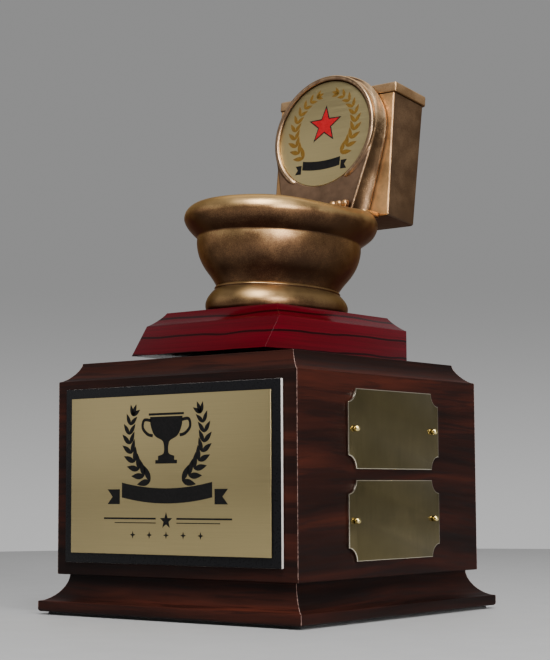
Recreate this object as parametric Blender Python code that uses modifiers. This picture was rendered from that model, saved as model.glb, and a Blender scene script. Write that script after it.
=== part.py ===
"""Toilet bowl trophy: a bronze toilet on a rosewood plinth and a walnut presentation box.

Metres, +Z up, front towards -Y, origin under the middle of the felt that it stands on.
From the floor up: felt, cove moulding round a foot board, a mitred box with a cove top, a
plinth with a sloping front on a thin pad, and the toilet: bowl, tank, tank lid, raised seat
cover with a round insert, and two hinges. Pieces that touch on the real thing keep GAP here.
"""

import math

import bmesh
import bpy
from mathutils import Matrix, Vector

MM = 0.001
INCH = 25.4 * MM
GAP = 0.3 * MM
MERGE = 0.00001

# Base, from the floor up (d is always the distance from the trophy's centre line)
FELT_THICKNESS = 1.0 * MM
FELT_HALF = 66.5 * MM
TOE_HALF = 69.2 * MM
TOE_HEIGHT = 4.4 * MM
NECK_HALF = 59.9 * MM
MOULDING_HEIGHT = 15.0 * MM
MOULDING_INNER = 47.5 * MM
MOULDING_Z = FELT_THICKNESS + GAP

BOX_HALF = 2.5 * INCH
BOX_WALL = 12.0 * MM
BOX_Z = MOULDING_Z + MOULDING_HEIGHT + GAP
SHOULDER_Z = BOX_Z + 80.5 * MM
BOX_TOP_Z = SHOULDER_Z + 7.8 * MM
BOX_TOP_HALF = 56.2 * MM
BOARD_THICKNESS = 9.5 * MM
BOARD_HALF = BOX_HALF - BOX_WALL - GAP
GLUE_BLOCK = 13.0 * MM
FOOT_SCREW_AT = 36.0 * MM

# Plates
FRONT_BACKER = (4.5 * INCH, 71.5 * MM, 1.6 * MM)
FRONT_PLATE = (106.0 * MM, 2.5 * INCH, 0.6 * MM)
FRONT_PLATE_Z = BOX_Z + 41.0 * MM
SIDE_PLATE = (64.6 * MM, 1.25 * INCH, 0.9 * MM)
SIDE_PLATE_SCOOP = 5.3 * MM
SIDE_PLATE_HEIGHTS = {"upper": BOX_Z + 58.5 * MM, "lower": BOX_Z + 22.5 * MM}
PIN_AT = 27.9 * MM
PIN_HEAD_RADIUS = 1.35 * MM
PIN_SHANK_RADIUS = 0.65 * MM
PIN_LENGTH = 8.0 * MM

# Plinth
PAD_THICKNESS = 2.0 * MM
PAD_HALF_X = 25.0 * MM
PAD_FRONT, PAD_BACK = -37.0 * MM, 41.0 * MM
PAD_Z = BOX_TOP_Z + GAP
PLINTH_Z = PAD_Z + PAD_THICKNESS + GAP
PLINTH_HALF_X = 36.0 * MM
PLINTH_FRONT_FOOT = -48.4 * MM
PLINTH_FRONT = -38.8 * MM
PLINTH_BACK = 52.3 * MM
PLINTH_SIDE_HEIGHT = 13.4 * MM
PLINTH_COVE_WIDTH, PLINTH_COVE_HEIGHT = 6.0 * MM, 5.7 * MM
PLINTH_TOP_Z = PLINTH_Z + PLINTH_SIDE_HEIGHT + PLINTH_COVE_HEIGHT
PLINTH_SCREWS_Y = (-27.0 * MM, 32.0 * MM)
FIGURE_SCREWS_Y = (-9.0 * MM, 15.0 * MM)

# Toilet bowl: every level is an ellipse, half width r and half length r + an elongation
BOWL_Z = PLINTH_TOP_Z + GAP
BOWL_ELONGATION = 10.4 * MM
BOWL_FOOT_Y = 5.6 * MM
BOWL_DRIFT = 0.07        # how far each level moves back as it gets higher
BOWL_TILT = 0.03         # how far the belly's lines fall for each step back
BOWL_TILT_Y = 5.0 * MM
SEAT_BACK = 1.0 * MM     # the seat's extra length, and its shift towards the hinges
SADDLE = 2.0 * MM        # how far the rim dips at its sides, in front of the hinge deck
SADDLE_Y = 6.0 * MM
SADDLE_REACH = 34.0 * MM
DECK_HALF = 28.5 * MM
DECK_FRONT = 32.0 * MM
DECK_BACK = 44.0 * MM
DECK_LOW, DECK_HIGH = 44.2 * MM, 46.88 * MM
DECK_CORNER = 2.0 * MM
BASIN_ELONGATION = 6.0 * MM
BASIN_Y = -0.5 * MM
BOWL_SEGMENTS = 48
SEAT_TOP = 46.9          # millimetres over the plinth, like the heights below
# (half width, height over the plinth) up the outside and over the seat roll
BOWL_OUTSIDE = ((25.6, 0.0), (26.3, 1.2), (26.6, 2.8), (26.4, 4.4), (25.7, 6.0), (24.6, 7.5),
                (23.4, 8.8), (22.7, 9.4), (22.8, 9.9), (22.4, 10.3), (22.1, 10.8),
                (23.2, 12.7), (24.9, 15.1), (26.9, 17.6), (28.7, 20.3), (30.2, 23.4),
                (31.1, 26.5), (31.55, 29.3), (31.6, 31.5),
                (32.7, 32.9), (34.3, 34.7), (35.8, 36.8), (37.0, 39.0), (37.6, 41.0),
                (37.6, 42.7), (37.0, 44.2), (35.9, 45.5), (34.4, 46.4), (32.6, SEAT_TOP),
                (30.8, SEAT_TOP))
# (half width, height over the plinth) from the seat's inner edge down into the basin
BOWL_INSIDE = ((25.4, 46.0), (24.0, 45.4), (23.2, 44.4), (22.9, 43.0), (23.0, 40.5),
               (23.4, 37.0), (22.9, 33.5), (21.4, 29.8), (18.8, 26.4), (15.2, 23.9),
               (11.2, 22.6), (8.6, 22.2), (7.9, 21.4), (7.5, 20.2))

# Tank, lid and seat cover: the tank leans back as one block from its bottom front edge
TANK_FOOT_Y = 43.7 * MM
TANK_FOOT_Z = BOWL_Z + 45.3 * MM
TANK_LEAN = math.radians(6.56)
TANK_HALF = (32.5 * MM, 32.3 * MM)      # half width at the bottom and the top
TANK_DEPTH = (21.3 * MM, 24.1 * MM)     # depth at the bottom and the top
TANK_HEIGHT = 57.3 * MM
TANK_EDGE = 0.9 * MM
LID_HALF = 33.1 * MM
LID_DEPTH = 25.5 * MM
LID_THICKNESS = 4.8 * MM
LID_CROWN = 1.4 * MM

COVER_CENTRE_Y = 40.7 * MM
COVER_CENTRE_Z = BOWL_Z + 86.2 * MM
COVER_LEAN = math.radians(9.74)
COVER_FRONT_RADIUS = 28.3 * MM
COVER_BACK_RADIUS = 30.2 * MM
COVER_FRONT_FOOT = 18.6 * MM            # half width where the cover meets the hinges
COVER_BACK_FOOT = 22.4 * MM
COVER_FOOT = -42.0 * MM                 # along the cover, before the seat trims it
COVER_FLARE = 1.8                       # how quickly the flanks hollow out behind the face
COVER_EASED = 0.94                      # share of the flare kept at the eased back edge
COVER_BEND = -1.0 * MM                  # above this, the face falls back behind the boss
COVER_SETBACK = math.radians(8.8)
BOSS_RADIUS = 27.6 * MM
INSERT_RADIUS = 25.2 * MM
INSERT_THICKNESS = 0.9 * MM
BEAD_RADIUS = 1.25 * MM
BEAD_RING = 26.6 * MM
BEAD_END = math.radians(-58.0)          # the bead stops on both sides of the cover's foot

HINGE_RADIUS = 1.9 * MM
HINGE_INNER, HINGE_OUTER = 9.2 * MM, 19.2 * MM
HINGE_Y = 32.3 * MM
HINGE_Z = BOWL_Z + 50.7 * MM


# ---------------------------------------------------------------- scene and materials

def clear_scene():
    for obj in list(bpy.data.objects):
        bpy.data.objects.remove(obj, do_unlink=True)


def make_collection(name):
    collection = bpy.data.collections.new(name)
    bpy.context.scene.collection.children.link(collection)
    return collection


def make_material(name, colour, roughness, metallic=0.0):
    material = bpy.data.materials.new(name)
    material.use_nodes = True
    shader = material.node_tree.nodes["Principled BSDF"]
    shader.inputs["Base Color"].default_value = (*colour, 1.0)
    shader.inputs["Roughness"].default_value = roughness
    shader.inputs["Metallic"].default_value = metallic
    material.diffuse_color = (*colour, 1.0)
    return material


clear_scene()
PARTS = make_collection("toilet_bowl_trophy")
CUTTERS = make_collection("cutters")

WALNUT = make_material("walnut_laminate", (0.055, 0.022, 0.014), 0.35)
BOARD = make_material("fibreboard", (0.45, 0.33, 0.21), 0.8)
ROSEWOOD = make_material("rosewood_gloss", (0.28, 0.004, 0.008), 0.08)
BRONZE = make_material("antique_bronze", (0.36, 0.21, 0.10), 0.32, 0.85)
COPPER = make_material("bright_copper", (0.48, 0.26, 0.12), 0.35, 0.85)
GOLD = make_material("brushed_gold", (0.60, 0.47, 0.24), 0.35, 1.0)
BLACK = make_material("black_plate", (0.01, 0.01, 0.012), 0.2)
BRASS = make_material("brass", (0.72, 0.55, 0.22), 0.2, 1.0)
STEEL = make_material("zinc_steel", (0.55, 0.55, 0.56), 0.35, 1.0)
FELT = make_material("felt", (0.02, 0.02, 0.02), 0.95)


# ---------------------------------------------------------------- modelling helpers

def add_object(name, bm, material, cutter=False):
    """Turn a bmesh into an object among the parts, or among the hidden cutters."""
    mesh = bpy.data.meshes.new(name)
    bm.normal_update()
    bmesh.ops.recalc_face_normals(bm, faces=bm.faces)
    bm.to_mesh(mesh)
    bm.free()
    obj = bpy.data.objects.new(name, mesh)
    if material:
        mesh.materials.append(material)
    if cutter:
        obj.hide_render = True
        obj.display_type = "WIRE"
    (CUTTERS if cutter else PARTS).objects.link(obj)
    return obj


def cube_mesh(low, high):
    """A box between two corners."""
    low, high = Vector(low), Vector(high)
    bm = bmesh.new()
    place = Matrix.Translation((low + high) / 2) @ Matrix.Diagonal((*(high - low), 1.0))
    bmesh.ops.create_cube(bm, size=1.0, matrix=place)
    return bm


def cone_mesh(start, end, radius, end_radius=None, segments=16):
    """A closed cylinder or cone from start to end."""
    start, end = Vector(start), Vector(end)
    turn = (end - start).to_track_quat("Z", "Y").to_matrix().to_4x4()
    bm = bmesh.new()
    bmesh.ops.create_cone(bm, cap_ends=True, segments=segments, radius1=radius,
                          radius2=radius if end_radius is None else end_radius,
                          depth=(end - start).length,
                          matrix=Matrix.Translation((start + end) / 2) @ turn)
    return bm


def prism_mesh(outline, depth):
    """A flat outline in the XZ plane, pulled along +Y by depth."""
    bm = bmesh.new()
    face = bm.faces.new([bm.verts.new((x, 0.0, z)) for x, z in outline])
    pulled = bmesh.ops.extrude_face_region(bm, geom=[face])
    moved = [v for v in pulled["geom"] if isinstance(v, bmesh.types.BMVert)]
    bmesh.ops.translate(bm, verts=moved, vec=(0.0, depth, 0.0))
    return bm


def loft_mesh(rings):
    """Skin a stack of rings that have the same number of points, and cap both ends."""
    bm = bmesh.new()
    loops = [[bm.verts.new(point) for point in ring] for ring in rings]
    count = len(loops[0])
    for lower, upper in zip(loops, loops[1:]):
        for i in range(count):
            j = (i + 1) % count
            bm.faces.new((lower[i], lower[j], upper[j], upper[i]))
    bm.faces.new(loops[0])
    bm.faces.new(loops[-1])
    return bm


def turned(name, profile, material, segments=12):
    """A turned piece round Z: (radius, z) points down its outer side, from the axis."""
    mesh = bpy.data.meshes.new(name)
    edges = [(i, i + 1) for i in range(len(profile) - 1)]
    mesh.from_pydata([(r, 0.0, z) for r, z in profile], edges, [])
    mesh.materials.append(material)
    obj = bpy.data.objects.new(name, mesh)
    PARTS.objects.link(obj)
    screw = obj.modifiers.new("Turn", "SCREW")
    screw.axis = "Z"
    screw.steps = screw.render_steps = segments
    screw.use_merge_vertices = True
    screw.merge_threshold = MERGE
    screw.use_smooth_shade = True
    return obj


def bevel(obj, width, segments=2, angle=35.0):
    rounding = obj.modifiers.new("Rounded edges", "BEVEL")
    rounding.width = width
    rounding.segments = segments
    rounding.limit_method = "ANGLE"
    rounding.angle_limit = math.radians(angle)


def smooth(obj, angle=35.0):
    obj.data.shade_smooth()
    obj.data.set_sharp_from_angle(angle=math.radians(angle))


def combine(obj, tool, operation):
    boolean = obj.modifiers.new(f"{operation.title()} {tool.name}", "BOOLEAN")
    boolean.operation = operation
    boolean.object = tool


def cut(obj, name, bm, parent=None):
    """Cut a bmesh out of an object."""
    tool = add_object(f"cut_{name}", bm, None, cutter=True)
    tool.parent = parent
    combine(obj, tool, "DIFFERENCE")


def concave(inner, top, outer, bottom, power, steps):
    """A cove from (inner, top) out to (outer, bottom): steep above, flat below."""
    points = []
    for i in range(steps + 1):
        angle = math.pi / 2 * i / steps
        out = 1.0 - math.cos(angle) ** (2.0 / power)
        down = math.sin(angle) ** (2.0 / power)
        points.append((inner + (outer - inner) * out, top + (bottom - top) * down))
    return points


def arc(centre, radius, start, end, steps):
    """Points on an arc between two angles in degrees."""
    angles = [math.radians(start + (end - start) * i / steps) for i in range(steps + 1)]
    return [(centre[0] + radius * math.cos(a), centre[1] + radius * math.sin(a))
            for a in angles]


# ---------------------------------------------------------------- walnut box and moulding

def mitred_strip(name, profile, side):
    """One side of a square frame: a (d, z) profile, mitred, turned to side 0 to 3."""
    bm = bmesh.new()
    face = bm.faces.new([bm.verts.new((-TOE_HALF, -d, z)) for d, z in profile])
    pulled = bmesh.ops.extrude_face_region(bm, geom=[face])
    moved = [v for v in pulled["geom"] if isinstance(v, bmesh.types.BMVert)]
    bmesh.ops.translate(bm, verts=moved, vec=(2 * TOE_HALF, 0.0, 0.0))
    for direction in (-1.0, 1.0):
        normal = Vector((direction, 1.0, 0.0)).normalized()
        everything = bm.verts[:] + bm.edges[:] + bm.faces[:]
        halved = bmesh.ops.bisect_plane(bm, geom=everything, dist=MERGE / 10,
                                        plane_co=normal * (-GAP / 2), plane_no=normal,
                                        clear_outer=True)
        rim = [e for e in halved["geom_cut"] if isinstance(e, bmesh.types.BMEdge)]
        bmesh.ops.holes_fill(bm, edges=rim)
    bmesh.ops.rotate(bm, verts=bm.verts, matrix=Matrix.Rotation(side * math.pi / 2, 3, "Z"))
    return add_object(name, bm, WALNUT)


SIDES = ("front", "right", "back", "left")


def make_box_panels():
    eased = 0.5 * MM
    lip = 0.6 * MM
    cove = concave(BOX_TOP_HALF, BOX_TOP_Z - lip, BOX_HALF, SHOULDER_Z, power=1.4, steps=7)
    inner = BOX_HALF - BOX_WALL
    profile = [(inner, BOX_Z), (inner, BOX_TOP_Z), (BOX_TOP_HALF, BOX_TOP_Z), *cove,
               (BOX_HALF, BOX_Z + eased), (BOX_HALF - eased, BOX_Z)]
    return {side: mitred_strip(f"{side}_panel", profile, i) for i, side in enumerate(SIDES)}


def make_mouldings():
    top = MOULDING_Z + MOULDING_HEIGHT
    toe_top = MOULDING_Z + TOE_HEIGHT
    eased = 0.35 * MM
    round_over = 1.0 * MM
    cove = concave(NECK_HALF, top - eased, TOE_HALF - eased, toe_top, power=1.65, steps=8)
    foot = arc((TOE_HALF - round_over, MOULDING_Z + round_over), round_over, 0, -90, 3)
    profile = [(MOULDING_INNER, MOULDING_Z), (MOULDING_INNER, top), (NECK_HALF, top), *cove,
               (TOE_HALF, toe_top - eased), *foot]
    for i, side in enumerate(SIDES):
        mitred_strip(f"{side}_moulding", profile, i)


def make_boards():
    """Boards inside the box and its foot, the glue blocks, and the screws that join them."""
    top_board = add_object("top_board", cube_mesh(
        (-BOARD_HALF, -BOARD_HALF, BOX_TOP_Z - BOARD_THICKNESS),
        (BOARD_HALF, BOARD_HALF, BOX_TOP_Z)), WALNUT)
    bottom_board = add_object("bottom_board", cube_mesh(
        (-BOARD_HALF, -BOARD_HALF, BOX_Z),
        (BOARD_HALF, BOARD_HALF, BOX_Z + BOARD_THICKNESS)), BOARD)
    foot_half = MOULDING_INNER - GAP
    foot_board = add_object("foot_board", cube_mesh(
        (-foot_half, -foot_half, MOULDING_Z),
        (foot_half, foot_half, MOULDING_Z + MOULDING_HEIGHT)), BOARD)
    low = BOX_Z + BOARD_THICKNESS + GAP
    high = BOX_TOP_Z - BOARD_THICKNESS - GAP
    for corner, (sx, sy) in {"front_left": (-1, -1), "front_right": (1, -1),
                             "back_right": (1, 1), "back_left": (-1, 1)}.items():
        far, near = BOARD_HALF, BOARD_HALF - GLUE_BLOCK
        xs, ys = sorted((sx * near, sx * far)), sorted((sy * near, sy * far))
        add_object(f"glue_block_{corner}", cube_mesh((xs[0], ys[0], low),
                                                     (xs[1], ys[1], high)), BOARD)
        make_foot_screw(corner, sx * FOOT_SCREW_AT, sy * FOOT_SCREW_AT,
                        foot_board, bottom_board)
    return top_board


def make_foot_screw(corner, x, y, foot_board, bottom_board):
    """A countersunk wood screw driven up through the foot board into the box."""
    head, shank, length = 4.0 * MM, 1.9 * MM, 20.0 * MM
    rim, cone = 0.4 * MM, 2.4 * MM
    base = MOULDING_Z + rim
    screw = turned(f"foot_screw_{corner}", [
        (0.0, length), (0.5 * MM, length), (shank, length - 3.0 * MM),
        (shank, cone), (head, rim), (head, 0.0), (0.0, 0.0)], STEEL)
    screw.location = (x, y, base)
    room = 1.6 * GAP
    spread = (head - shank) / (cone - rim)
    sink = cone_mesh((x, y, base - MM), (x, y, base + cone),
                     head + spread * (rim + MM) + room, shank + room)
    cut(foot_board, f"sink_{corner}", sink)
    bore = cone_mesh((x, y, base), (x, y, BOX_Z + BOARD_THICKNESS / 2 + 1.5 * MM),
                     shank + GAP)
    cut(foot_board, f"bore_{corner}", bore)
    pilot = cone_mesh((x, y, BOX_Z - 1.0 * MM), (x, y, base + length + GAP), shank + GAP)
    cut(bottom_board, f"pilot_{corner}", pilot)


def make_felt():
    add_object("felt_base", cube_mesh((-FELT_HALF, -FELT_HALF, 0.0),
                                      (FELT_HALF, FELT_HALF, FELT_THICKNESS)), FELT)


# ---------------------------------------------------------------- plates and pins

def make_front_plate():
    """The black backer on the front panel, and the gold plate that carries the engraving."""
    width, height, thick = FRONT_BACKER
    near = -BOX_HALF - GAP
    backer = add_object("front_backer", cube_mesh(
        (-width / 2, near - thick, FRONT_PLATE_Z - height / 2),
        (width / 2, near, FRONT_PLATE_Z + height / 2)), BLACK)
    bevel(backer, 0.3 * MM, segments=1)
    near -= thick + GAP
    width, height, thick = FRONT_PLATE
    plate = add_object("front_plate", cube_mesh(
        (-width / 2, near - thick, FRONT_PLATE_Z - height / 2),
        (width / 2, near, FRONT_PLATE_Z + height / 2)), GOLD)
    bevel(plate, 0.15 * MM, segments=1)


def scooped_outline(width, height, scoop):
    """A rectangle whose corners are hollow arcs, as (x, z) points."""
    x, z = width / 2, height / 2
    return (arc((x, z), scoop, 180, 270, 6) + arc((x, -z), scoop, 90, 180, 6)
            + arc((-x, -z), scoop, 0, 90, 6) + arc((-x, z), scoop, 270, 360, 6))


def make_side_plate(side, row, panel):
    """A blank name plate with scooped corners, held to one panel by two brass pins."""
    width, height, thick = SIDE_PLATE
    turn = Matrix.Rotation(SIDES.index(side) * math.pi / 2, 4, "Z")
    z = SIDE_PLATE_HEIGHTS[row]
    near = BOX_HALF + GAP
    place = turn @ Matrix.Translation((0.0, -near - thick, z))
    bm = prism_mesh(scooped_outline(width, height, SIDE_PLATE_SCOOP), thick)
    plate = add_object(f"{side}_plate_{row}", bm, BRASS)
    plate.matrix_world = place
    bevel(plate, 0.3 * MM, segments=1)
    for end, x in (("a", -PIN_AT), ("b", PIN_AT)):
        make_pin(f"pin_{side}_{row}_{end}", turn, x, z, near + thick, plate, panel)


def make_pin(name, turn, x, z, face, plate, panel):
    """A round-headed pin through a plate, and its holes in the plate and the panel."""
    lift = 0.35 * MM
    dome = [(PIN_HEAD_RADIUS * math.sin(a), lift + 0.5 * MM + PIN_HEAD_RADIUS * math.cos(a))
            for a in (math.radians(30 * i) for i in range(4))]
    pin = turned(name, [*dome, (PIN_HEAD_RADIUS * 0.86, lift), (PIN_SHANK_RADIUS, lift),
                        (PIN_SHANK_RADIUS, 1.0 * MM - PIN_LENGTH), (0.0, -PIN_LENGTH)],
                 BRASS, segments=10)
    outward = Matrix.Rotation(math.pi / 2, 4, "X")
    pin.matrix_world = turn @ Matrix.Translation((x, -face, z)) @ outward
    for piece, start, end in ((plate, 2.0 * MM, -3.0 * MM), (panel, 0.0, -PIN_LENGTH - GAP)):
        axis = [turn @ Vector((x, -face - depth, z)) for depth in (start, end)]
        hole = cone_mesh(*axis, PIN_SHANK_RADIUS + GAP, segments=10)
        if piece is plate:
            hole.transform(plate.matrix_world.inverted())
            cut(piece, f"{name}_plate", hole, parent=plate)
        else:
            cut(piece, f"{name}_panel", hole)


# ---------------------------------------------------------------- plinth

def make_plinth():
    """A block whose front slopes back and whose top edge is a shallow cove."""
    bm = cube_mesh((-PLINTH_HALF_X, PLINTH_FRONT, PLINTH_Z),
                   (PLINTH_HALF_X, PLINTH_BACK, PLINTH_Z + PLINTH_SIDE_HEIGHT))
    for vert in bm.verts:
        if vert.co.y < 0.0 and vert.co.z < PLINTH_Z + MM:
            vert.co.y = PLINTH_FRONT_FOOT
    cove = concave(0.0, PLINTH_COVE_HEIGHT, PLINTH_COVE_WIDTH, 0.0, power=1.2, steps=5)
    cove.reverse()
    top = max(bm.faces, key=lambda face: face.calc_center_median().z)
    for (out, height), (next_out, next_height) in zip(cove, cove[1:]):
        bmesh.ops.inset_region(bm, faces=[top], thickness=out - next_out,
                               depth=next_height - height, use_even_offset=True)
    plinth = add_object("plinth", bm, ROSEWOOD)
    bevel(plinth, 0.25 * MM, segments=1, angle=40.0)
    return plinth


def make_plinth_joints(plinth, top_board, bowl):
    """The pad under the plinth, the screws up into it, and the screws up into the bowl."""
    pad = add_object("plinth_pad", cube_mesh(
        (-PAD_HALF_X, PAD_FRONT, PAD_Z),
        (PAD_HALF_X, PAD_BACK, PAD_Z + PAD_THICKNESS)), FELT)
    shank, head, head_height = 1.9 * MM, 3.8 * MM, 2.4 * MM
    for place, y in zip(("front", "back"), PLINTH_SCREWS_Y):
        base = BOX_TOP_Z - BOARD_THICKNESS - GAP
        length = 21.0 * MM
        make_pan_screw(f"plinth_screw_{place}", y, base, shank, head, head_height, length)
        top = base + length
        for piece, low in ((top_board, base - MM), (pad, PAD_Z - MM), (plinth, PAD_Z)):
            high = top + GAP if piece is plinth else PLINTH_Z + MM
            bore = cone_mesh((0.0, y, low), (0.0, y, high), shank + GAP)
            cut(piece, f"{piece.name}_{place}", bore)
    for place, y in zip(("front", "back"), FIGURE_SCREWS_Y):
        base = PLINTH_Z + 4.0 * MM
        length = 28.0 * MM
        make_pan_screw(f"figure_screw_{place}", y, base, shank, head, head_height, length)
        counterbore = cone_mesh((0.0, y, PLINTH_Z - MM), (0.0, y, base), head + GAP)
        cut(plinth, f"counterbore_{place}", counterbore)
        clearance = cone_mesh((0.0, y, base - MM), (0.0, y, PLINTH_TOP_Z + MM), shank + GAP)
        cut(plinth, f"clearance_{place}", clearance)
        thread = cone_mesh((0.0, y, BOWL_Z - MM), (0.0, y, base + length + GAP), shank + GAP)
        cut(bowl, f"bowl_{place}", thread)


def make_pan_screw(name, y, base, shank, head, head_height, length):
    """A pan-head screw pointing up, its head's bearing face at height base."""
    screw = turned(name, [(0.0, length), (0.5 * MM, length), (shank, length - 3.0 * MM),
                          (shank, -GAP), (head, -GAP), (head, -head_height * 0.6),
                          (head * 0.7, -head_height), (0.0, -head_height)], STEEL)
    screw.location = (0.0, y, base)


# ---------------------------------------------------------------- toilet

def share(low, high, value):
    """0 below low, 1 above high, and an even step between."""
    t = min(max((value - low) / (high - low), 0.0), 1.0)
    return t * t * (3.0 - 2.0 * t)


def bowl_ring(half_width, height, elongation, centre_y, tilt=0.0):
    """One level of the bowl; its rim sags at the sides and its belly lines may tilt."""
    ring = []
    for i in range(BOWL_SEGMENTS):
        angle = 2 * math.pi * i / BOWL_SEGMENTS
        y = centre_y + (half_width + elongation) * math.sin(angle)
        sag = max(0.0, 1.0 - ((y - SADDLE_Y) / SADDLE_REACH) ** 2) ** 2
        fall = SADDLE * share(36.0, 46.0, height) * sag
        fall += tilt * (y - BOWL_TILT_Y) * math.sin(math.pi * height / SEAT_TOP)
        ring.append((half_width * math.cos(angle), y, BOWL_Z + height * MM - fall))
    return ring


def make_bowl():
    """Foot, waist, belly, seat roll and open basin in one casting, flat under the tank."""
    rings = []
    for r, h in BOWL_OUTSIDE:
        back = SEAT_BACK * share(31.5, 37.0, h)
        rings.append(bowl_ring(r * MM, h, BOWL_ELONGATION + back,
                               BOWL_FOOT_Y + BOWL_DRIFT * h * MM + back, BOWL_TILT))
    rings += [bowl_ring(r * MM, h, BASIN_ELONGATION, BASIN_Y) for r, h in BOWL_INSIDE]
    bowl = add_object("bowl", loft_mesh(rings), BRONZE)
    smooth(bowl, 50.0)
    x, front, back = DECK_HALF - DECK_CORNER, DECK_FRONT + DECK_CORNER, DECK_BACK - DECK_CORNER
    outline = (arc((x, back), DECK_CORNER, 0, 90, 3) + arc((-x, back), DECK_CORNER, 90, 180, 3)
               + arc((-x, front), DECK_CORNER, 180, 270, 3)
               + arc((x, front), DECK_CORNER, 270, 360, 3))
    deck = loft_mesh([[(*point, BOWL_Z + z) for point in outline]
                      for z in (DECK_LOW, DECK_HIGH)])
    combine(bowl, add_object("hinge_deck", deck, None, cutter=True), "UNION")
    return bowl


def make_tank_frame():
    """The empty that the leaning tank hangs on: x, depth back and height up the tank."""
    frame = bpy.data.objects.new("tank_frame", None)
    frame.location = (0.0, TANK_FOOT_Y, TANK_FOOT_Z)
    frame.rotation_euler = (-TANK_LEAN, 0.0, 0.0)
    PARTS.objects.link(frame)
    return frame


def make_tank(frame, bowl):
    bm = cube_mesh((-1.0, 0.0, 0.0), (1.0, 1.0, TANK_HEIGHT))
    for vert in bm.verts:
        level = 1 if vert.co.z > TANK_HEIGHT / 2 else 0
        vert.co.x *= TANK_HALF[level]
        vert.co.y *= TANK_DEPTH[level]
    tank = add_object("tank", bm, BRONZE)
    tank.parent = frame
    bevel(tank, TANK_EDGE, segments=3)
    smooth(tank)
    seat = cube_mesh((-2 * LID_HALF, -GAP, -GAP), (2 * LID_HALF, 2 * LID_DEPTH, TANK_HEIGHT))
    cut(bowl, "tank_seat", seat, parent=frame)


def make_tank_lid(frame):
    """A slab over the tank with a low crown, flush at the front for the raised cover."""
    bottom = TANK_HEIGHT + GAP
    bm = cube_mesh((-LID_HALF, 0.0, bottom), (LID_HALF, LID_DEPTH, bottom + LID_THICKNESS))
    top = max(bm.faces, key=lambda face: face.calc_center_median().z)
    for inset, rise in ((1.0, 0.0), (3.0, 0.8), (5.0, 0.6)):
        bmesh.ops.inset_region(bm, faces=[top], thickness=inset * MM, depth=rise * LID_CROWN)
    lid = add_object("tank_lid", bm, COPPER)
    lid.parent = frame
    bevel(lid, 0.8 * MM, segments=3, angle=50.0)
    smooth(lid)


def cover_outline(radius, foot_half, steps):
    """A round head that narrows in straight lines to its foot, as (x, s) points."""
    corner = 1.0 * MM
    reach = math.hypot(foot_half, COVER_FOOT)
    tangent = math.atan2(COVER_FOOT, foot_half) + math.acos(radius / reach)
    head = arc((0.0, 0.0), radius, math.degrees(tangent),
               180.0 - math.degrees(tangent), steps)
    right = [(foot_half - corner, COVER_FOOT), (foot_half, COVER_FOOT + corner)]
    left = [(-x, s) for x, s in reversed(right)]
    return right + head + left


def make_cover(tank_frame):
    """The raised seat cover: hollow flanks, a rolled rim, a round recess and its bead."""
    frame = bpy.data.objects.new("cover_frame", None)
    frame.location = (0.0, COVER_CENTRE_Y, COVER_CENTRE_Z)
    frame.rotation_euler = (-COVER_LEAN, 0.0, 0.0)
    PARTS.objects.link(frame)
    relative = COVER_LEAN - TANK_LEAN
    gap_y = TANK_FOOT_Y - COVER_CENTRE_Y
    gap_z = COVER_CENTRE_Z - TANK_FOOT_Z
    clear = (gap_y * math.cos(TANK_LEAN) + gap_z * math.sin(TANK_LEAN)) - GAP
    steps = 36
    rings = []
    for share in (0.0, 0.12, 0.3, 0.5, 0.7, 0.85, 0.95, 1.0):
        flare = (1.0 - share) ** COVER_FLARE if share else COVER_EASED
        radius = COVER_FRONT_RADIUS + (COVER_BACK_RADIUS - COVER_FRONT_RADIUS) * flare
        foot = COVER_FRONT_FOOT + (COVER_BACK_FOOT - COVER_FRONT_FOOT) * flare
        ring = []
        for x, s in cover_outline(radius, foot, steps):
            back = (clear - s * math.sin(relative)) / math.cos(relative)
            ring.append((x, back * (1.0 - share), s))
        rings.append(ring)
    cover = add_object("seat_cover", loft_mesh(rings), BRONZE)
    cover.parent = frame
    smooth(cover, 30.0)
    set_back_face(cover, frame)
    bead = make_bead(frame)
    combine(cover, bead, "UNION")
    recess = cone_mesh((0.0, INSERT_THICKNESS + GAP, 0.0), (0.0, -4.0 * MM, 0.0),
                       INSERT_RADIUS + GAP, segments=64)
    cut(cover, "insert_recess", recess, parent=frame)
    seat = cube_mesh((-LID_HALF, 0.0, BOWL_Z), (LID_HALF, TANK_FOOT_Y + LID_DEPTH,
                                                BOWL_Z + SEAT_TOP * MM + GAP))
    cut(cover, "cover_foot", seat)
    return frame


def set_back_face(cover, frame):
    """Lean the upper face back behind the round boss that carries the insert."""
    wedge = cube_mesh((-LID_HALF, -LID_DEPTH, 0.0), (LID_HALF, 0.0, 2 * LID_HALF))
    wedge.transform(Matrix.Translation((0.0, 0.0, COVER_BEND))
                    @ Matrix.Rotation(-COVER_SETBACK, 4, "X"))
    tool = add_object("cut_upper_face", wedge, None, cutter=True)
    tool.parent = frame
    boss = add_object("boss", cone_mesh((0.0, -2 * LID_DEPTH, 0.0), (0.0, LID_DEPTH, 0.0),
                                        BOSS_RADIUS, segments=64), None, cutter=True)
    boss.parent = frame
    combine(tool, boss, "DIFFERENCE")
    combine(cover, tool, "DIFFERENCE")


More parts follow.
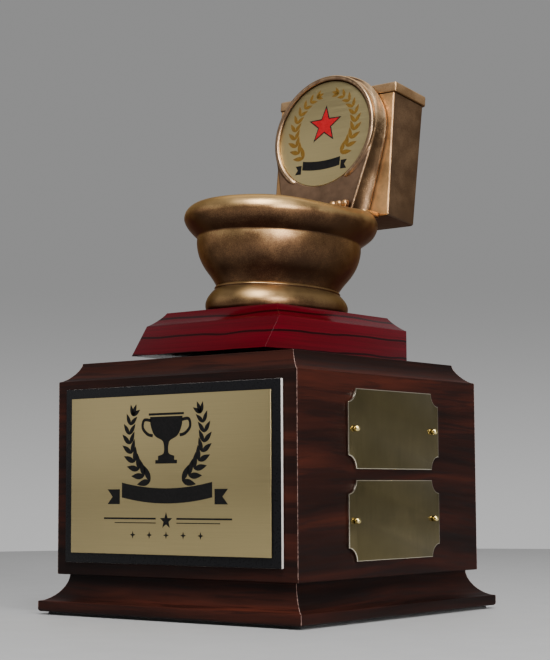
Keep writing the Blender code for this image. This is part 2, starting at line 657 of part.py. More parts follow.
def make_bead(frame):
    """The round wire-like bead that frames the insert, open towards the cover's foot."""
    steps = 44
    start, end = BEAD_END, math.pi - BEAD_END
    curve = bpy.data.curves.new("bead", "CURVE")
    curve.dimensions = "3D"
    curve.bevel_depth = BEAD_RADIUS
    curve.bevel_resolution = 2
    curve.use_fill_caps = True
    spline = curve.splines.new("POLY")
    spline.points.add(steps)
    for i, point in enumerate(spline.points):
        angle = start + (end - start) * i / steps
        point.co = (BEAD_RING * math.cos(angle), -0.1 * MM, BEAD_RING * math.sin(angle), 1.0)
        end_share = min(i, steps - i)
        point.radius = (0.55, 0.9, 1.0)[min(end_share, 2)]
    wire = bpy.data.objects.new("bead_curve", curve)
    CUTTERS.objects.link(wire)
    wire.hide_render = True
    depsgraph = bpy.context.evaluated_depsgraph_get()
    mesh = bpy.data.meshes.new_from_object(wire.evaluated_get(depsgraph))
    bm = bmesh.new()
    bm.from_mesh(mesh)
    bmesh.ops.remove_doubles(bm, verts=bm.verts, dist=MERGE)
    bpy.data.objects.remove(wire)
    bpy.data.meshes.remove(mesh)
    bead = add_object("bead", bm, None, cutter=True)
    bead.parent = frame
    return bead


def make_insert(frame):
    """The round printed insert, lying in the cover's recess."""
    insert = add_object("round_insert", cone_mesh(
        (0.0, INSERT_THICKNESS, 0.0), (0.0, 0.0, 0.0), INSERT_RADIUS, segments=64), GOLD)
    insert.parent = frame
    smooth(insert)


def make_hinge(side, sign):
    """Three knuckles in a row in front of the cover's foot, on a post from the seat."""
    length = HINGE_OUTER - HINGE_INNER
    knuckle = length / 3
    groove = 0.35 * MM
    profile = [(0.0, length)]
    for i in (3, 2, 1):
        high, low = i * knuckle, (i - 1) * knuckle
        profile += [(HINGE_RADIUS * 0.75, high), (HINGE_RADIUS, high - groove),
                    (HINGE_RADIUS, low + groove)]
    profile += [(HINGE_RADIUS * 0.75, 0.0), (0.0, 0.0)]
    hinge = turned(f"hinge_{side}", profile, BRONZE)
    start = HINGE_INNER if sign > 0 else -HINGE_OUTER
    hinge.matrix_world = (Matrix.Translation((start, HINGE_Y, HINGE_Z))
                          @ Matrix.Rotation(math.pi / 2, 4, "Y"))
    middle = start + length / 2
    post = add_object(f"post_{side}", cube_mesh(
        (middle - knuckle / 2.5, HINGE_Y - HINGE_RADIUS * 0.7, BOWL_Z + SEAT_TOP * MM + GAP),
        (middle + knuckle / 2.5, HINGE_Y + HINGE_RADIUS * 0.7, HINGE_Z)), None, cutter=True)
    combine(hinge, post, "UNION")


# ---------------------------------------------------------------- the trophy

def main():
    make_felt()
    make_mouldings()
    panels = make_box_panels()
    top_board = make_boards()
    make_front_plate()
    for side in ("right", "back", "left"):
        for row in SIDE_PLATE_HEIGHTS:
            make_side_plate(side, row, panels[side])
    bowl = make_bowl()
    plinth = make_plinth()
    make_plinth_joints(plinth, top_board, bowl)
    tank_frame = make_tank_frame()
    make_tank(tank_frame, bowl)
    make_tank_lid(tank_frame)
    cover_frame = make_cover(tank_frame)
    make_insert(cover_frame)
    for side, sign in (("left", -1), ("right", 1)):
        make_hinge(side, sign)
    bpy.context.view_layer.update()


main()
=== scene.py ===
"""Looks of the toilet bowl trophy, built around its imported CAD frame.

Meshes are made in millimetres and scaled to metres as they become pieces. The row frame has
+Z up and the front towards -Y. Sizes come from the frame's nodes, and the curved outlines
repeat the design's own profiles at a finer step.
"""

import math

import bmesh
import bpy
from mathutils import Matrix, Vector


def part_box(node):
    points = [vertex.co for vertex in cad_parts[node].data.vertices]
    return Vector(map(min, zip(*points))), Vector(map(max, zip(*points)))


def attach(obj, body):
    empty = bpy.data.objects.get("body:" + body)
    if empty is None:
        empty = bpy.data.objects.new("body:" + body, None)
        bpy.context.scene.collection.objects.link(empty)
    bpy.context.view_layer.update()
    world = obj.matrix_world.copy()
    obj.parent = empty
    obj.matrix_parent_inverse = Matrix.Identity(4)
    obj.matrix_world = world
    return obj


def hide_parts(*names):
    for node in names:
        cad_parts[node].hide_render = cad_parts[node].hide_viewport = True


MM = 0.001
TAU = 2 * math.pi
BODY = "root"
SIDES = ("front", "right", "back", "left")

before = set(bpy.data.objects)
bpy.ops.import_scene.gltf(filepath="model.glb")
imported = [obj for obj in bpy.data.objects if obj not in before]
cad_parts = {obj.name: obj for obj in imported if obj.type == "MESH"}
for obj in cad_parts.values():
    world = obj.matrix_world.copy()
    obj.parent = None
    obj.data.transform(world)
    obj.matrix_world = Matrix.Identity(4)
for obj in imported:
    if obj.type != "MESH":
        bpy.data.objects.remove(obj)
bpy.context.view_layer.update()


def corners(node):
    """A CAD node's lowest and highest corners, in millimetres."""
    low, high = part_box(node)
    return low / MM, high / MM


# Levels and widths read from the frame
PANEL_LOW, PANEL_HIGH = corners("front_panel")
MOULDING_LOW, MOULDING_HIGH = corners("front_moulding")
BOX_HALF = -PANEL_LOW.y
TOE_HALF = -MOULDING_LOW.y
BOX_Z, BOX_TOP_Z = PANEL_LOW.z, PANEL_HIGH.z
BOWL_Z = corners("bowl")[0].z
PLINTH_LOW, PLINTH_HIGH = corners("plinth")

# Walnut box and moulding
MITRE_GAP = 0.03
WALL = 12.0
SHOULDER_Z = BOX_TOP_Z - 7.8
TOP_HALF = 56.2
NECK_HALF = 59.9
TOE_HEIGHT = 4.4
MOULDING_INNER = 47.5

# Plates and pins
SCOOP = 5.3
PIN_AT, PIN_BORE = 27.9, 0.95

# Plinth; the grain lines are heights in metres
GRAIN_LINES = (0.1181, 0.1262, 0.1106)
PLINTH_FRONT = -38.8
PLINTH_SIDE_HEIGHT = 13.4
PLINTH_COVE = (6.0, 5.7)

# Bowl: (half width, height over the plinth), each list one smooth stretch
ELONGATION, FOOT_Y, DRIFT = 10.4, 5.6, 0.07
TILT, TILT_Y = 0.03, 5.0
SEAT_BACK = 1.0
SADDLE, SADDLE_Y, SADDLE_REACH = 2.0, 6.0, 34.0
DECK_HALF, DECK_NEAR, DECK_FAR, DECK_LOW, DECK_HIGH = 28.5, 32.0, 44.0, 44.2, 46.88
BASIN_ELONGATION, BASIN_Y = 6.0, -0.5
SEAT_TOP = 46.9
FOOT_ROLL = ((25.6, 0.0), (26.3, 1.2), (26.6, 2.8), (26.4, 4.4), (25.7, 6.0), (24.6, 7.5),
             (23.4, 8.8), (22.7, 9.3))
WAIST = ((22.7, 9.4), (22.95, 9.8), (22.9, 10.2), (22.5, 10.5), (22.1, 10.8))
BELLY = ((22.1, 10.8), (23.2, 12.7), (24.9, 15.1), (26.9, 17.6), (28.7, 20.3), (30.2, 23.4),
         (31.1, 26.5), (31.5, 29.3), (31.45, 31.6))
SEAT_ROLL = ((31.6, 31.9), (32.6, 32.8), (34.2, 34.3), (35.8, 36.1), (36.9, 37.8),
             (37.5, 39.3), (37.65, 40.4), (37.55, 41.6), (37.1, 43.0), (36.1, 44.5),
             (34.7, 45.7), (32.9, 46.6), (31.0, SEAT_TOP), (28.4, 46.8))
BASIN = ((25.4, 46.0), (24.0, 45.4), (23.2, 44.4), (22.9, 43.0), (23.0, 40.5), (23.4, 37.0),
         (22.9, 33.5), (21.4, 29.8), (18.8, 26.4), (15.2, 23.9), (11.2, 22.6), (8.6, 22.2),
         (7.9, 21.4), (7.5, 20.2))

# Tank, lid and cover
TANK_FOOT = Vector((0.0, 43.7, BOWL_Z + 45.3))
TANK_LEAN = math.radians(6.56)
TANK_HALF, TANK_DEPTH, TANK_HEIGHT = (32.5, 32.3), (21.3, 24.1), 57.3
LID_HALF, LID_DEPTH, LID_THICKNESS = 33.1, 25.5, 4.8
COVER_CENTRE = Vector((0.0, 40.7, BOWL_Z + 86.2))
COVER_LEAN = math.radians(9.74)
COVER_RADII = (28.3, 30.2)
COVER_FEET = (18.6, 22.4)
COVER_FOOT = -42.0
COVER_LIP = 0.2                 # share of the depth that stays wide against the tank
COVER_FLAT = 0.035              # how much less the back edge rises at its top
CREST_RADIUS, CREST_SETBACK = 0.65, 1.2
COVER_BEND, COVER_SETBACK = -1.0, math.radians(8.8)
BOSS_RADIUS = 27.6
INSERT_RADIUS, INSERT_THICKNESS = 25.2, 0.9
BEAD_RADIUS, BEAD_RING, BEAD_END = 1.25, 26.6, math.radians(-58.0)
HINGE_RADIUS, HINGE_INNER, HINGE_OUTER = 1.9, 9.2, 19.2
HINGE_Y, HINGE_Z = 32.3, BOWL_Z + 50.7

GAP = 0.3
PRINT_THICKNESS = 0.06
SURROUND = 0.09
FLOOR_RADIUS = 730.0
FLOOR_GREYS = (0.39, 0.39, 0.39), (0.41, 0.41, 0.41)
BEHIND = (-0.619, 0.785, 0.0)   # level direction from the trophy to the backdrop


# ---------------------------------------------------------------- material helpers

class Nodes:
    """A node tree, with short calls for the nodes that this file shares."""

    def __init__(self, tree):
        self.tree = tree

    def feed(self, socket, value):
        """Link a node's output to a socket, or set the socket to a number or a colour."""
        if isinstance(value, bpy.types.NodeSocket):
            self.tree.links.new(value, socket)
        elif isinstance(value, tuple) and socket.type == "RGBA":
            socket.default_value = (*value, 1.0)
        else:
            socket.default_value = value

    def node(self, kind, inputs=None, **settings):
        """Add a node with its settings, and feed the inputs, by name or number."""
        node = self.tree.nodes.new("ShaderNode" + kind)
        for name, value in settings.items():
            setattr(node, name, value)
        for name, value in (inputs or {}).items():
            self.feed(node.inputs[name], value)
        return node

    def axes(self, vector):
        return self.node("SeparateXYZ", {0: vector}).outputs

    def between(self, value, low, high, to_low=0.0, to_high=1.0):
        """A smooth step of a value from low to high."""
        return self.node("MapRange", {"Value": value, "From Min": low, "From Max": high,
                                      "To Min": to_low, "To Max": to_high},
                         interpolation_type="SMOOTHSTEP").outputs["Result"]


class Finish(Nodes):
    """A material of one surface shader."""

    def __init__(self, name):
        self.material = bpy.data.materials.new(name)
        self.material.use_nodes = True
        super().__init__(self.material.node_tree)
        self.shader = self.tree.nodes["Principled BSDF"]
        self.place = self.node("TexCoord").outputs["Object"]

    def set(self, **values):
        """Set sockets of the surface shader: base_color is its Base Color, and so on."""
        for name, value in values.items():
            words = name.replace("_", " ").title().replace("Ior", "IOR")
            self.feed(self.shader.inputs[words], value)

    def stretched(self, scale, shift=(0.0, 0.0, 0.0), place=None):
        """The place on the object, stretched by a scale for each axis."""
        return self.node("Mapping", {"Vector": place or self.place, "Scale": scale,
                                     "Location": shift}).outputs["Vector"]

    def noise(self, scale, vector=None, detail=2.0, roughness=0.5, distortion=0.0):
        return self.node("TexNoise", {"Vector": vector or self.place, "Scale": scale,
                                      "Detail": detail, "Roughness": roughness,
                                      "Distortion": distortion}).outputs["Fac"]

    def ramp(self, fac, *stops):
        """A colour for each (position, colour) stop, blended between them."""
        node = self.node("ValToRGB", {"Fac": fac})
        elements = node.color_ramp.elements
        while len(elements) < len(stops):
            elements.new(0.5)
        for element, (position, colour) in zip(elements, stops):
            element.position = position
            element.color = (*colour, 1.0)
        return node.outputs["Color"]

    def mix(self, fac, first, second, mode="MIX"):
        return self.node("Mix", {0: fac, 6: first, 7: second}, data_type="RGBA",
                         blend_type=mode).outputs[2]

    def math(self, operation, *values):
        return self.node("Math", dict(enumerate(values)), operation=operation).outputs[0]

    def swayed(self, value, noise, amount):
        """A value that a noise moves by half the amount up or down."""
        return self.math("ADD", value, self.math(
            "MULTIPLY", self.math("SUBTRACT", noise, 0.5), amount))

    def waved(self, scale, depth):
        """The place on the object, its height shifted by a slow noise of a depth in metres."""
        x, y, z = self.axes(self.place)
        height = self.swayed(z, self.noise(scale, detail=1.0), 2.0 * depth)
        return self.node("CombineXYZ", {0: x, 1: y, 2: height}).outputs["Vector"]

    def openness(self, distance):
        """1 on open surface, and less in corners and hollows within a distance in metres."""
        return self.node("AmbientOcclusion", {"Distance": distance}, samples=8).outputs["AO"]

    def normal(self):
        return self.node("NewGeometry").outputs["Normal"]

    def ridges(self, low, high):
        """1 on the convex edges that mark_ridges() found, 0 on flat and hollow surface."""
        stored = self.node("Attribute", attribute_name="ridge")
        return self.between(stored.outputs["Fac"], low, high)

    def bump(self, height, distance, strength=1.0):
        """Raise the surface by height times distance, in metres."""
        node = self.node("Bump", {"Strength": strength, "Distance": distance, "Height": height})
        self.feed(self.shader.inputs["Normal"], node.outputs["Normal"])


# ---------------------------------------------------------------- finishes

def walnut(name, along, painted_light_tone):
    """Satin walnut laminate, its grain along X or Y, with a pale raw edge at each mitre, and a tone
    that lightens or darkens the whole strip as painted light and shade.
    """
    finish = Finish(name)
    waved = finish.waved(9.0, 0.007)
    length, width = 5.0, 90.0
    stretch = (length, width, width) if along == "X" else (width, length, width)
    grain = finish.stretched(stretch, place=waved)
    figure = finish.noise(1.0, grain, detail=5.0, roughness=0.6, distortion=0.4)
    broad_stretch = (4.0, 30.0, 30.0) if along == "X" else (30.0, 4.0, 30.0)
    broad = finish.noise(1.0, finish.stretched(broad_stretch, place=waved), detail=1.5,
                         distortion=0.5)
    fine = finish.noise(1.0, finish.stretched(tuple(6.0 * s for s in stretch), place=waved),
                        detail=3.0)
    colour = finish.ramp(figure, (0.30, (0.006, 0.0024, 0.0020)), (0.45, (0.018, 0.0056, 0.0037)),
                         (0.59, (0.038, 0.0096, 0.0056)), (0.76, (0.078, 0.0175, 0.0088)))
    # Painted light and shade: the tone lightens the front and back strips and darkens the side
    # strips.
    reddish = finish.ramp(broad, (0.38, tuple(painted_light_tone * c for c in (0.70, 0.68, 0.68))),
                          (0.66, tuple(painted_light_tone * c for c in (1.15, 1.02, 0.98))))
    colour = finish.mix(1.0, colour, reddish, "MULTIPLY")
    pores = finish.between(fine, 0.36, 0.49)
    colour = finish.mix(pores, finish.mix(0.55, colour, (0.006, 0.003, 0.0026)), colour)
    x, y, _ = finish.axes(finish.place)
    from_mitre = finish.math("ABSOLUTE", finish.math(
        "SUBTRACT", finish.math("ABSOLUTE", x), finish.math("ABSOLUTE", y)))
    wear = finish.noise(900.0, detail=2.0)
    edge_width = finish.between(wear, 0.35, 0.65, 0.00005, 0.00022)
    raw = finish.math("LESS_THAN", from_mitre, edge_width)
    colour = finish.mix(raw, colour, (0.30, 0.19, 0.16))
    finish.set(base_color=colour, roughness=finish.between(fine, 0.2, 0.8, 0.40, 0.55),
               specular_ior_level=0.11)
    finish.bump(fine, 0.00004, 0.5)
    return finish.material


def rosewood():
    """Deep gloss lacquer over red rosewood, with black grain lines that wander round it, and painted
    shade darkening its upward faces.
    """
    finish = Finish("rosewood_lacquer")
    _, _, z = finish.axes(finish.place)
    wander = finish.noise(22.0, finish.stretched((1.0, 1.0, 0.3), shift=(0.03, 0.012, 0.0)),
                          detail=1.5)
    level = finish.math("ADD", z, finish.math("MULTIPLY", wander, 0.006))
    black = None
    for line in GRAIN_LINES:
        off = finish.math("ABSOLUTE", finish.math("SUBTRACT", level, line))
        mask = finish.between(off, 0.00022, 0.00062, 1.0, 0.0)
        black = mask if black is None else finish.math("MAXIMUM", black, mask)
    streaks = finish.noise(1.0, finish.stretched((14.0, 14.0, 900.0)), detail=3.0, roughness=0.6)
    red = finish.ramp(streaks, (0.25, (0.050, 0.0002, 0.0025)), (0.55, (0.085, 0.0003, 0.0045)),
                      (0.85, (0.11, 0.0006, 0.0060)))
    # Painted shade: faces that turn upwards, the sloping front and the cove, are darkened.
    slope_shade = finish.between(finish.axes(finish.normal())[2], 0.25, 0.75, 0.0, 0.35)
    red = finish.mix(slope_shade, red, (0.020, 0.0001, 0.0010))
    finish.set(base_color=finish.mix(black, red, (0.012, 0.0006, 0.001)), roughness=0.25,
               specular_ior_level=0.09, coat_weight=0.10, coat_roughness=0.05)
    return finish.material


def patina(name, lows, middle, highs, speckle, metallic=0.92, roughness=(0.30, 0.46), hollow_wash_and_shade=1.0,
           reach=0.002, worn_and_highlit=0.0, front=None, shaded_below=None):
    """Antique metal paint with painted light and shade: lighter where it faces up, darker where it
    faces down; where asked, lighter on front faces, darker below a height, and lighter on convex
    edges (wear and painted highlight); darker in hollows (antique wash and painted shade).
    """
    finish = Finish(name)
    _, back, up = finish.axes(finish.normal())
    mottle = finish.noise(60.0, detail=5.0, roughness=0.66)
    grains = finish.noise(2400.0, detail=1.5, roughness=0.7)
    # Painted light and shade: the colour runs from lows on down-facing surface to highs on up-facing
    # surface, broken by the mottle.
    painted_up_light = finish.swayed(finish.swayed(up, mottle, 1.3 * speckle), grains, 0.8 * speckle)
    colour = finish.ramp(finish.between(painted_up_light, -0.75, 0.65), (0.0, lows), (0.5, middle),
                         (1.0, highs))
    # Painted light: faces towards the front (-Y) take the lighter front colour, mottled.
    if front:
        lit_front_mask = finish.between(back, -0.95, -0.40, 1.0, 0.0)
        lit_front_blotches = finish.ramp(mottle, (0.38, tuple(0.55 * c for c in front)), (0.60, front))
        colour = finish.mix(lit_front_mask, colour, lit_front_blotches)
    # Painted shade: surface below the given height is darkened towards the lows.
    if shaded_below:
        level = finish.axes(finish.place)[2]
        shade_under = finish.between(level, (shaded_below - 2.0) * MM, shaded_below * MM, 0.45, 0.0)
        colour = finish.mix(shade_under, colour, lows)
    # Antique wash and painted shade: corners, hollows and gaps between parts darken towards the
    # lows.
    wash_and_shade = finish.between(finish.openness(reach), 0.20, 0.70, hollow_wash_and_shade, 0.0)
    colour = finish.mix(wash_and_shade, colour, tuple(0.35 * c for c in lows))
    polish = finish.between(mottle, 0.3, 0.7, *roughness)
    # Wear and painted highlight: convex edges take the highs colour and a little less roughness.
    if worn_and_highlit:
        edge = finish.math("MULTIPLY", finish.ridges(0.008, 0.025), worn_and_highlit)
        colour = finish.mix(edge, colour, highs)
        polish = finish.math("SUBTRACT", polish, finish.math("MULTIPLY", edge, 0.08))
    finish.set(base_color=colour, metallic=metallic, specular_tint=(0.45, 0.33, 0.25),
               roughness=polish)
    finish.bump(grains, 0.00006, 0.35)
    return finish.material


def brushed_gold(name, colour, brush, roughness):
    """Satin gold sheet with fine brush lines along X."""
    finish = Finish(name)
    lines = finish.noise(1.0, finish.stretched(brush), detail=3.0, roughness=0.7)
    clouds = finish.noise(16.0, detail=1.0)
    shade = finish.ramp(lines, (0.3, tuple(0.90 * c for c in colour)), (0.7, colour))
    finish.set(base_color=finish.mix(finish.between(clouds, 0.3, 0.7, 0.0, 0.10), shade,
                                     tuple(0.8 * c for c in colour)),
               metallic=1.0, roughness=finish.between(lines, 0.3, 0.7, *roughness))
    finish.bump(lines, 0.00002, 0.25)
    return finish.material


def black_gloss():
    """Black lacquered plate whose edges are pale."""
    finish = Finish("black_gloss")
    sideways = finish.math("ABSOLUTE", finish.axes(finish.normal())[1])
    edge = finish.math("LESS_THAN", sideways, 0.35)
    dust = finish.noise(1400.0, detail=2.0)
    finish.set(base_color=finish.mix(edge, (0.006, 0.006, 0.007), (0.62, 0.58, 0.54)),
               roughness=finish.between(dust, 0.3, 0.7, 0.26, 0.34), specular_ior_level=0.14)
    return finish.material


def polished_brass(name, colour, roughness):
    """Polished sheet brass: fine scratches and a faint tarnish. Lighter and darker copies of it
    paint highlight and shade on the name plates.
    """
    finish = Finish(name)
    scratches = finish.noise(1.0, finish.stretched((500.0, 500.0, 60.0)), detail=2.0)
    tarnish = finish.noise(70.0, detail=3.0)
    shade = finish.ramp(tarnish, (0.35, tuple(0.82 * c for c in colour)), (0.65, colour))
    finish.set(base_color=shade, metallic=1.0,
               roughness=finish.between(scratches, 0.3, 0.7, *roughness))
    finish.bump(scratches, 0.00001, 0.2)
    return finish.material


def plain(name, low, high, scale, roughness, metallic=0.0, bump_depth=0.0, sheen=0.0,
          specular=0.5):
    """A material of two close colours in a fine noise: ink, felt, board or plated steel."""
    finish = Finish(name)
    grain = finish.noise(scale, detail=3.0)
    finish.set(base_color=finish.ramp(grain, (0.35, low), (0.65, high)), metallic=metallic,
               roughness=roughness, sheen_weight=sheen, specular_ior_level=specular)
    if bump_depth:
        finish.bump(grain, bump_depth)
    return finish.material


# Painted light and shade: strips along X (front, back) are toned lighter, strips along Y (sides)
# darker.
WALNUT_X = walnut("walnut_along_x", "X", 1.25)
WALNUT_Y = walnut("walnut_along_y", "Y", 0.64)
ROSEWOOD = rosewood()
# lows, middle and highs colour down-facing, sideways and up-facing surface, as painted shade and
# painted light.
BRONZE = patina("antique_bronze", (0.070, 0.037, 0.021), (0.27, 0.145, 0.068),
                (0.60, 0.385, 0.165), speckle=1.0, roughness=(0.29, 0.42),
                # painted shade: the bowl's foot, under the rim, is darkened
                shaded_below=BOWL_Z + 11.0)
COVER_BRONZE = patina("copper_bronze", (0.060, 0.035, 0.022), (0.145, 0.084, 0.042),
                      (0.85, 0.58, 0.33), speckle=0.8, roughness=(0.27, 0.40), hollow_wash_and_shade=0.75,
                      reach=0.010, worn_and_highlit=0.8, front=(0.27, 0.165, 0.103))
# Painted light: the tank's front faces are far lighter than its sides.
TANK_BRONZE = patina("tank_bronze", (0.085, 0.056, 0.040), (0.150, 0.090, 0.052),
                     (0.40, 0.25, 0.14), speckle=0.55, roughness=(0.32, 0.44), metallic=0.85,
                     hollow_wash_and_shade=0.35, front=(0.84, 0.47, 0.205))
COPPER = patina("bright_copper", (0.12, 0.060, 0.025), (0.31, 0.187, 0.092),
                (0.55, 0.36, 0.20), speckle=0.7, metallic=0.75, roughness=(0.34, 0.48))
GOLD = brushed_gold("brushed_gold", (0.53, 0.425, 0.210), (25.0, 1.0, 2600.0), (0.28, 0.36))
INSERT_GOLD = brushed_gold("insert_gold", (0.57, 0.462, 0.232), (40.0, 40.0, 1500.0), (0.38, 0.46))
BLACK = black_gloss()
# Painted shade and highlight: the plate faces take a brass darkened to a dark reflection, their
# edges a pale brass.
DARKENED_PLATE_BRASS = polished_brass("darkened_plate_brass", (0.220, 0.178, 0.084), (0.20, 0.26))
HIGHLIT_EDGE_BRASS = polished_brass("highlit_edge_brass", (0.92, 0.84, 0.66), (0.12, 0.20))
PIN_BRASS = polished_brass("pin_brass", (1.00, 0.80, 0.34), (0.11, 0.17))
INK = plain("black_ink", (0.004, 0.004, 0.004), (0.008, 0.007, 0.007), 900.0, 0.5, specular=0.15)
RED_INK = plain("red_ink", (0.34, 0.004, 0.008), (0.42, 0.008, 0.014), 900.0, 0.5, specular=0.15)
BROWN_INK = plain("gold_brown_ink", (0.13, 0.065, 0.008), (0.16, 0.085, 0.011), 900.0, 0.5,
                  specular=0.2)
FELT = plain("black_felt", (0.006, 0.006, 0.006), (0.022, 0.022, 0.022), 2200.0, 0.95,
             bump_depth=0.0003, sheen=0.6)
BOARD = plain("raw_fibreboard", (0.34, 0.24, 0.15), (0.48, 0.36, 0.23), 1500.0, 0.85,
              bump_depth=0.0001)
STEEL = plain("zinc_steel", (0.46, 0.46, 0.47), (0.60, 0.60, 0.61), 300.0, 0.34, metallic=1.0)


# ---------------------------------------------------------------- mesh helpers

def to_object(name, bm, place=None):
    """Scale a bmesh in millimetres to metres, put it in place and make it an object."""
    bmesh.ops.transform(bm, matrix=Matrix.Scale(MM, 4) @ (place or Matrix()), verts=bm.verts)
    bm.normal_update()
    bmesh.ops.recalc_face_normals(bm, faces=bm.faces)
    mesh = bpy.data.meshes.new(name)
    bm.to_mesh(mesh)
    bm.free()
    obj = bpy.data.objects.new(name, mesh)
    bpy.context.scene.collection.objects.link(obj)
    return obj


def piece(name, bm, material, replaces=(), place=None, sharp=40.0):
    """Make a bmesh in millimetres into a piece on the trophy's body."""
    obj = to_object(name, bm, place)
    obj.data.materials.append(material)
    obj.data.shade_smooth()
    obj.data.set_sharp_from_angle(angle=math.radians(sharp))
    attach(obj, BODY)
    if replaces:
        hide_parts(*replaces)
    return obj


def combine(obj, bm, operation, place=None):
    """Cut or join an object with a bmesh in millimetres. Returns the tool, for settle()."""
    tool = to_object("tool", bm, place)
    boolean = obj.modifiers.new(operation, "BOOLEAN")
    boolean.operation = operation
    boolean.object = tool
    return tool


def settle(obj, tools=(), sharp=40.0):
    """Apply an object's modifiers to its mesh and remove the tools that they used."""
    bpy.context.view_layer.update()
    graph = bpy.context.evaluated_depsgraph_get()
    mesh = bpy.data.meshes.new_from_object(obj.evaluated_get(graph))
    obj.modifiers.clear()
    old = obj.data
    obj.data = mesh
    bpy.data.meshes.remove(old)
    for used in tools:
        bpy.data.objects.remove(used)
    mesh.shade_smooth()
    mesh.set_sharp_from_angle(angle=math.radians(sharp))


def ease_edges(obj, width, limit, sharp=40.0):
    """Round the edges that turn more than the limit in degrees."""
    rounding = obj.modifiers.new("Edges", "BEVEL")
    rounding.width = width * MM
    rounding.segments = 3
    rounding.limit_method = "ANGLE"
    rounding.angle_limit = math.radians(limit)
    settle(obj, sharp=sharp)


def cube(low, high):
    low, high = Vector(low), Vector(high)
    bm = bmesh.new()
    place = Matrix.Translation((low + high) / 2) @ Matrix.Diagonal((*(high - low), 1.0))
    bmesh.ops.create_cube(bm, size=1.0, matrix=place)
    return bm


def rod(start, end, radius, segments=48):
    start, end = Vector(start), Vector(end)
    turn = (end - start).to_track_quat("Z", "Y").to_matrix().to_4x4()
    bm = bmesh.new()
    bmesh.ops.create_cone(bm, cap_ends=True, segments=segments, radius1=radius, radius2=radius,
                          depth=(end - start).length,
                          matrix=Matrix.Translation((start + end) / 2) @ turn)
    return bm


def loft(rings, caps=True):
    """Skin a stack of rings that have the same number of points."""
    bm = bmesh.new()
    loops = [[bm.verts.new(point) for point in ring] for ring in rings]
    count = len(loops[0])
    for lower, upper in zip(loops, loops[1:]):
        for i in range(count):
            j = (i + 1) % count
            bm.faces.new((lower[i], lower[j], upper[j], upper[i]))
    if caps:
        bm.faces.new(loops[0])
        bm.faces.new(loops[-1])
    return bm


def lathe(profile, segments=40):
    """Turn (radius, z) points round Z; a radius of 0 at either end closes on the axis."""
    bm = bmesh.new()
    rows = []
    for radius, z in profile:
        if radius < 1e-6:
            rows.append([bm.verts.new((0.0, 0.0, z))])
        else:
            rows.append([bm.verts.new((radius * math.cos(TAU * i / segments),
                                       radius * math.sin(TAU * i / segments), z))
                         for i in range(segments)])
    for lower, upper in zip(rows, rows[1:]):
        for i in range(segments):
            j = (i + 1) % segments
            corner = [lower[i % len(lower)], lower[j % len(lower)],
                      upper[j % len(upper)], upper[i % len(upper)]]
            bm.faces.new(list(dict.fromkeys(corner)))
    return bm


def pull(bm, points, vec):
    """Add a flat face through points to a bmesh, and pull it along a vector to a solid."""
    face = bm.faces.new([bm.verts.new(point) for point in points])
    pulled = bmesh.ops.extrude_face_region(bm, geom=[face])
    moved = [v for v in pulled["geom"] if isinstance(v, bmesh.types.BMVert)]
    bmesh.ops.translate(bm, verts=moved, vec=vec)


def prism(outlines, depth):
    """Flat outlines in the XZ plane, each pulled along +Y by depth."""
    bm = bmesh.new()
    for outline in outlines:
        pull(bm, [(x, 0.0, z) for x, z in outline], (0.0, depth, 0.0))
    return bm


def curve_through(points, steps):
    """Points on a smooth curve through the given ones, steps to each stretch."""
    padded = [points[0], *points, points[-1]]
    smooth = []
    for a, b, c, d in zip(padded, padded[1:], padded[2:], padded[3:]):
        a, b, c, d = (Vector(p) for p in (a, b, c, d))
        for i in range(steps):
            t = i / steps
            smooth.append(0.5 * (2 * b + (c - a) * t + (2 * a - 5 * b + 4 * c - d) * t * t
                                 + (3 * b - a - 3 * c + d) * t ** 3))
    smooth.append(Vector(points[-1]))
    return [tuple(p) for p in smooth]


def concave(inner, top, outer, bottom, power, steps):
    """A cove from (inner, top) out to (outer, bottom): steep above, flat below."""
    points = []
    for i in range(steps + 1):
        angle = math.pi / 2 * i / steps
        out = 1.0 - math.cos(angle) ** (2.0 / power)
        down = math.sin(angle) ** (2.0 / power)
        points.append((inner + (outer - inner) * out, top + (bottom - top) * down))
    return points


def arc(centre, radius, start, end, steps):
    """Points on an arc between two angles in degrees."""
    angles = [math.radians(start + (end - start) * i / steps) for i in range(steps + 1)]
    return [(centre[0] + radius * math.cos(a), centre[1] + radius * math.sin(a))
            for a in angles]


def side_turn(side):
    return Matrix.Rotation(SIDES.index(side) * math.pi / 2, 4, "Z")


# ---------------------------------------------------------------- walnut box and moulding

def mitred_strip(name, profile, side, node):
    """One side of a square frame: a (d, z) profile, mitred, and turned to its side."""
    bm = bmesh.new()
    pull(bm, [(-TOE_HALF, -d, z) for d, z in profile], (2 * TOE_HALF, 0.0, 0.0))
    for direction in (-1.0, 1.0):
        normal = Vector((direction, 1.0, 0.0)).normalized()
        cut = bmesh.ops.bisect_plane(bm, geom=bm.verts[:] + bm.edges[:] + bm.faces[:],
                                     dist=0.0001, plane_co=normal * (-MITRE_GAP / 2),
                                     plane_no=normal, clear_outer=True)
        rim = [e for e in cut["geom_cut"] if isinstance(e, bmesh.types.BMEdge)]
        bmesh.ops.holes_fill(bm, edges=rim)
    material = WALNUT_X if side in ("front", "back") else WALNUT_Y
    return piece(name, bm, material, [node], side_turn(side), sharp=30.0)


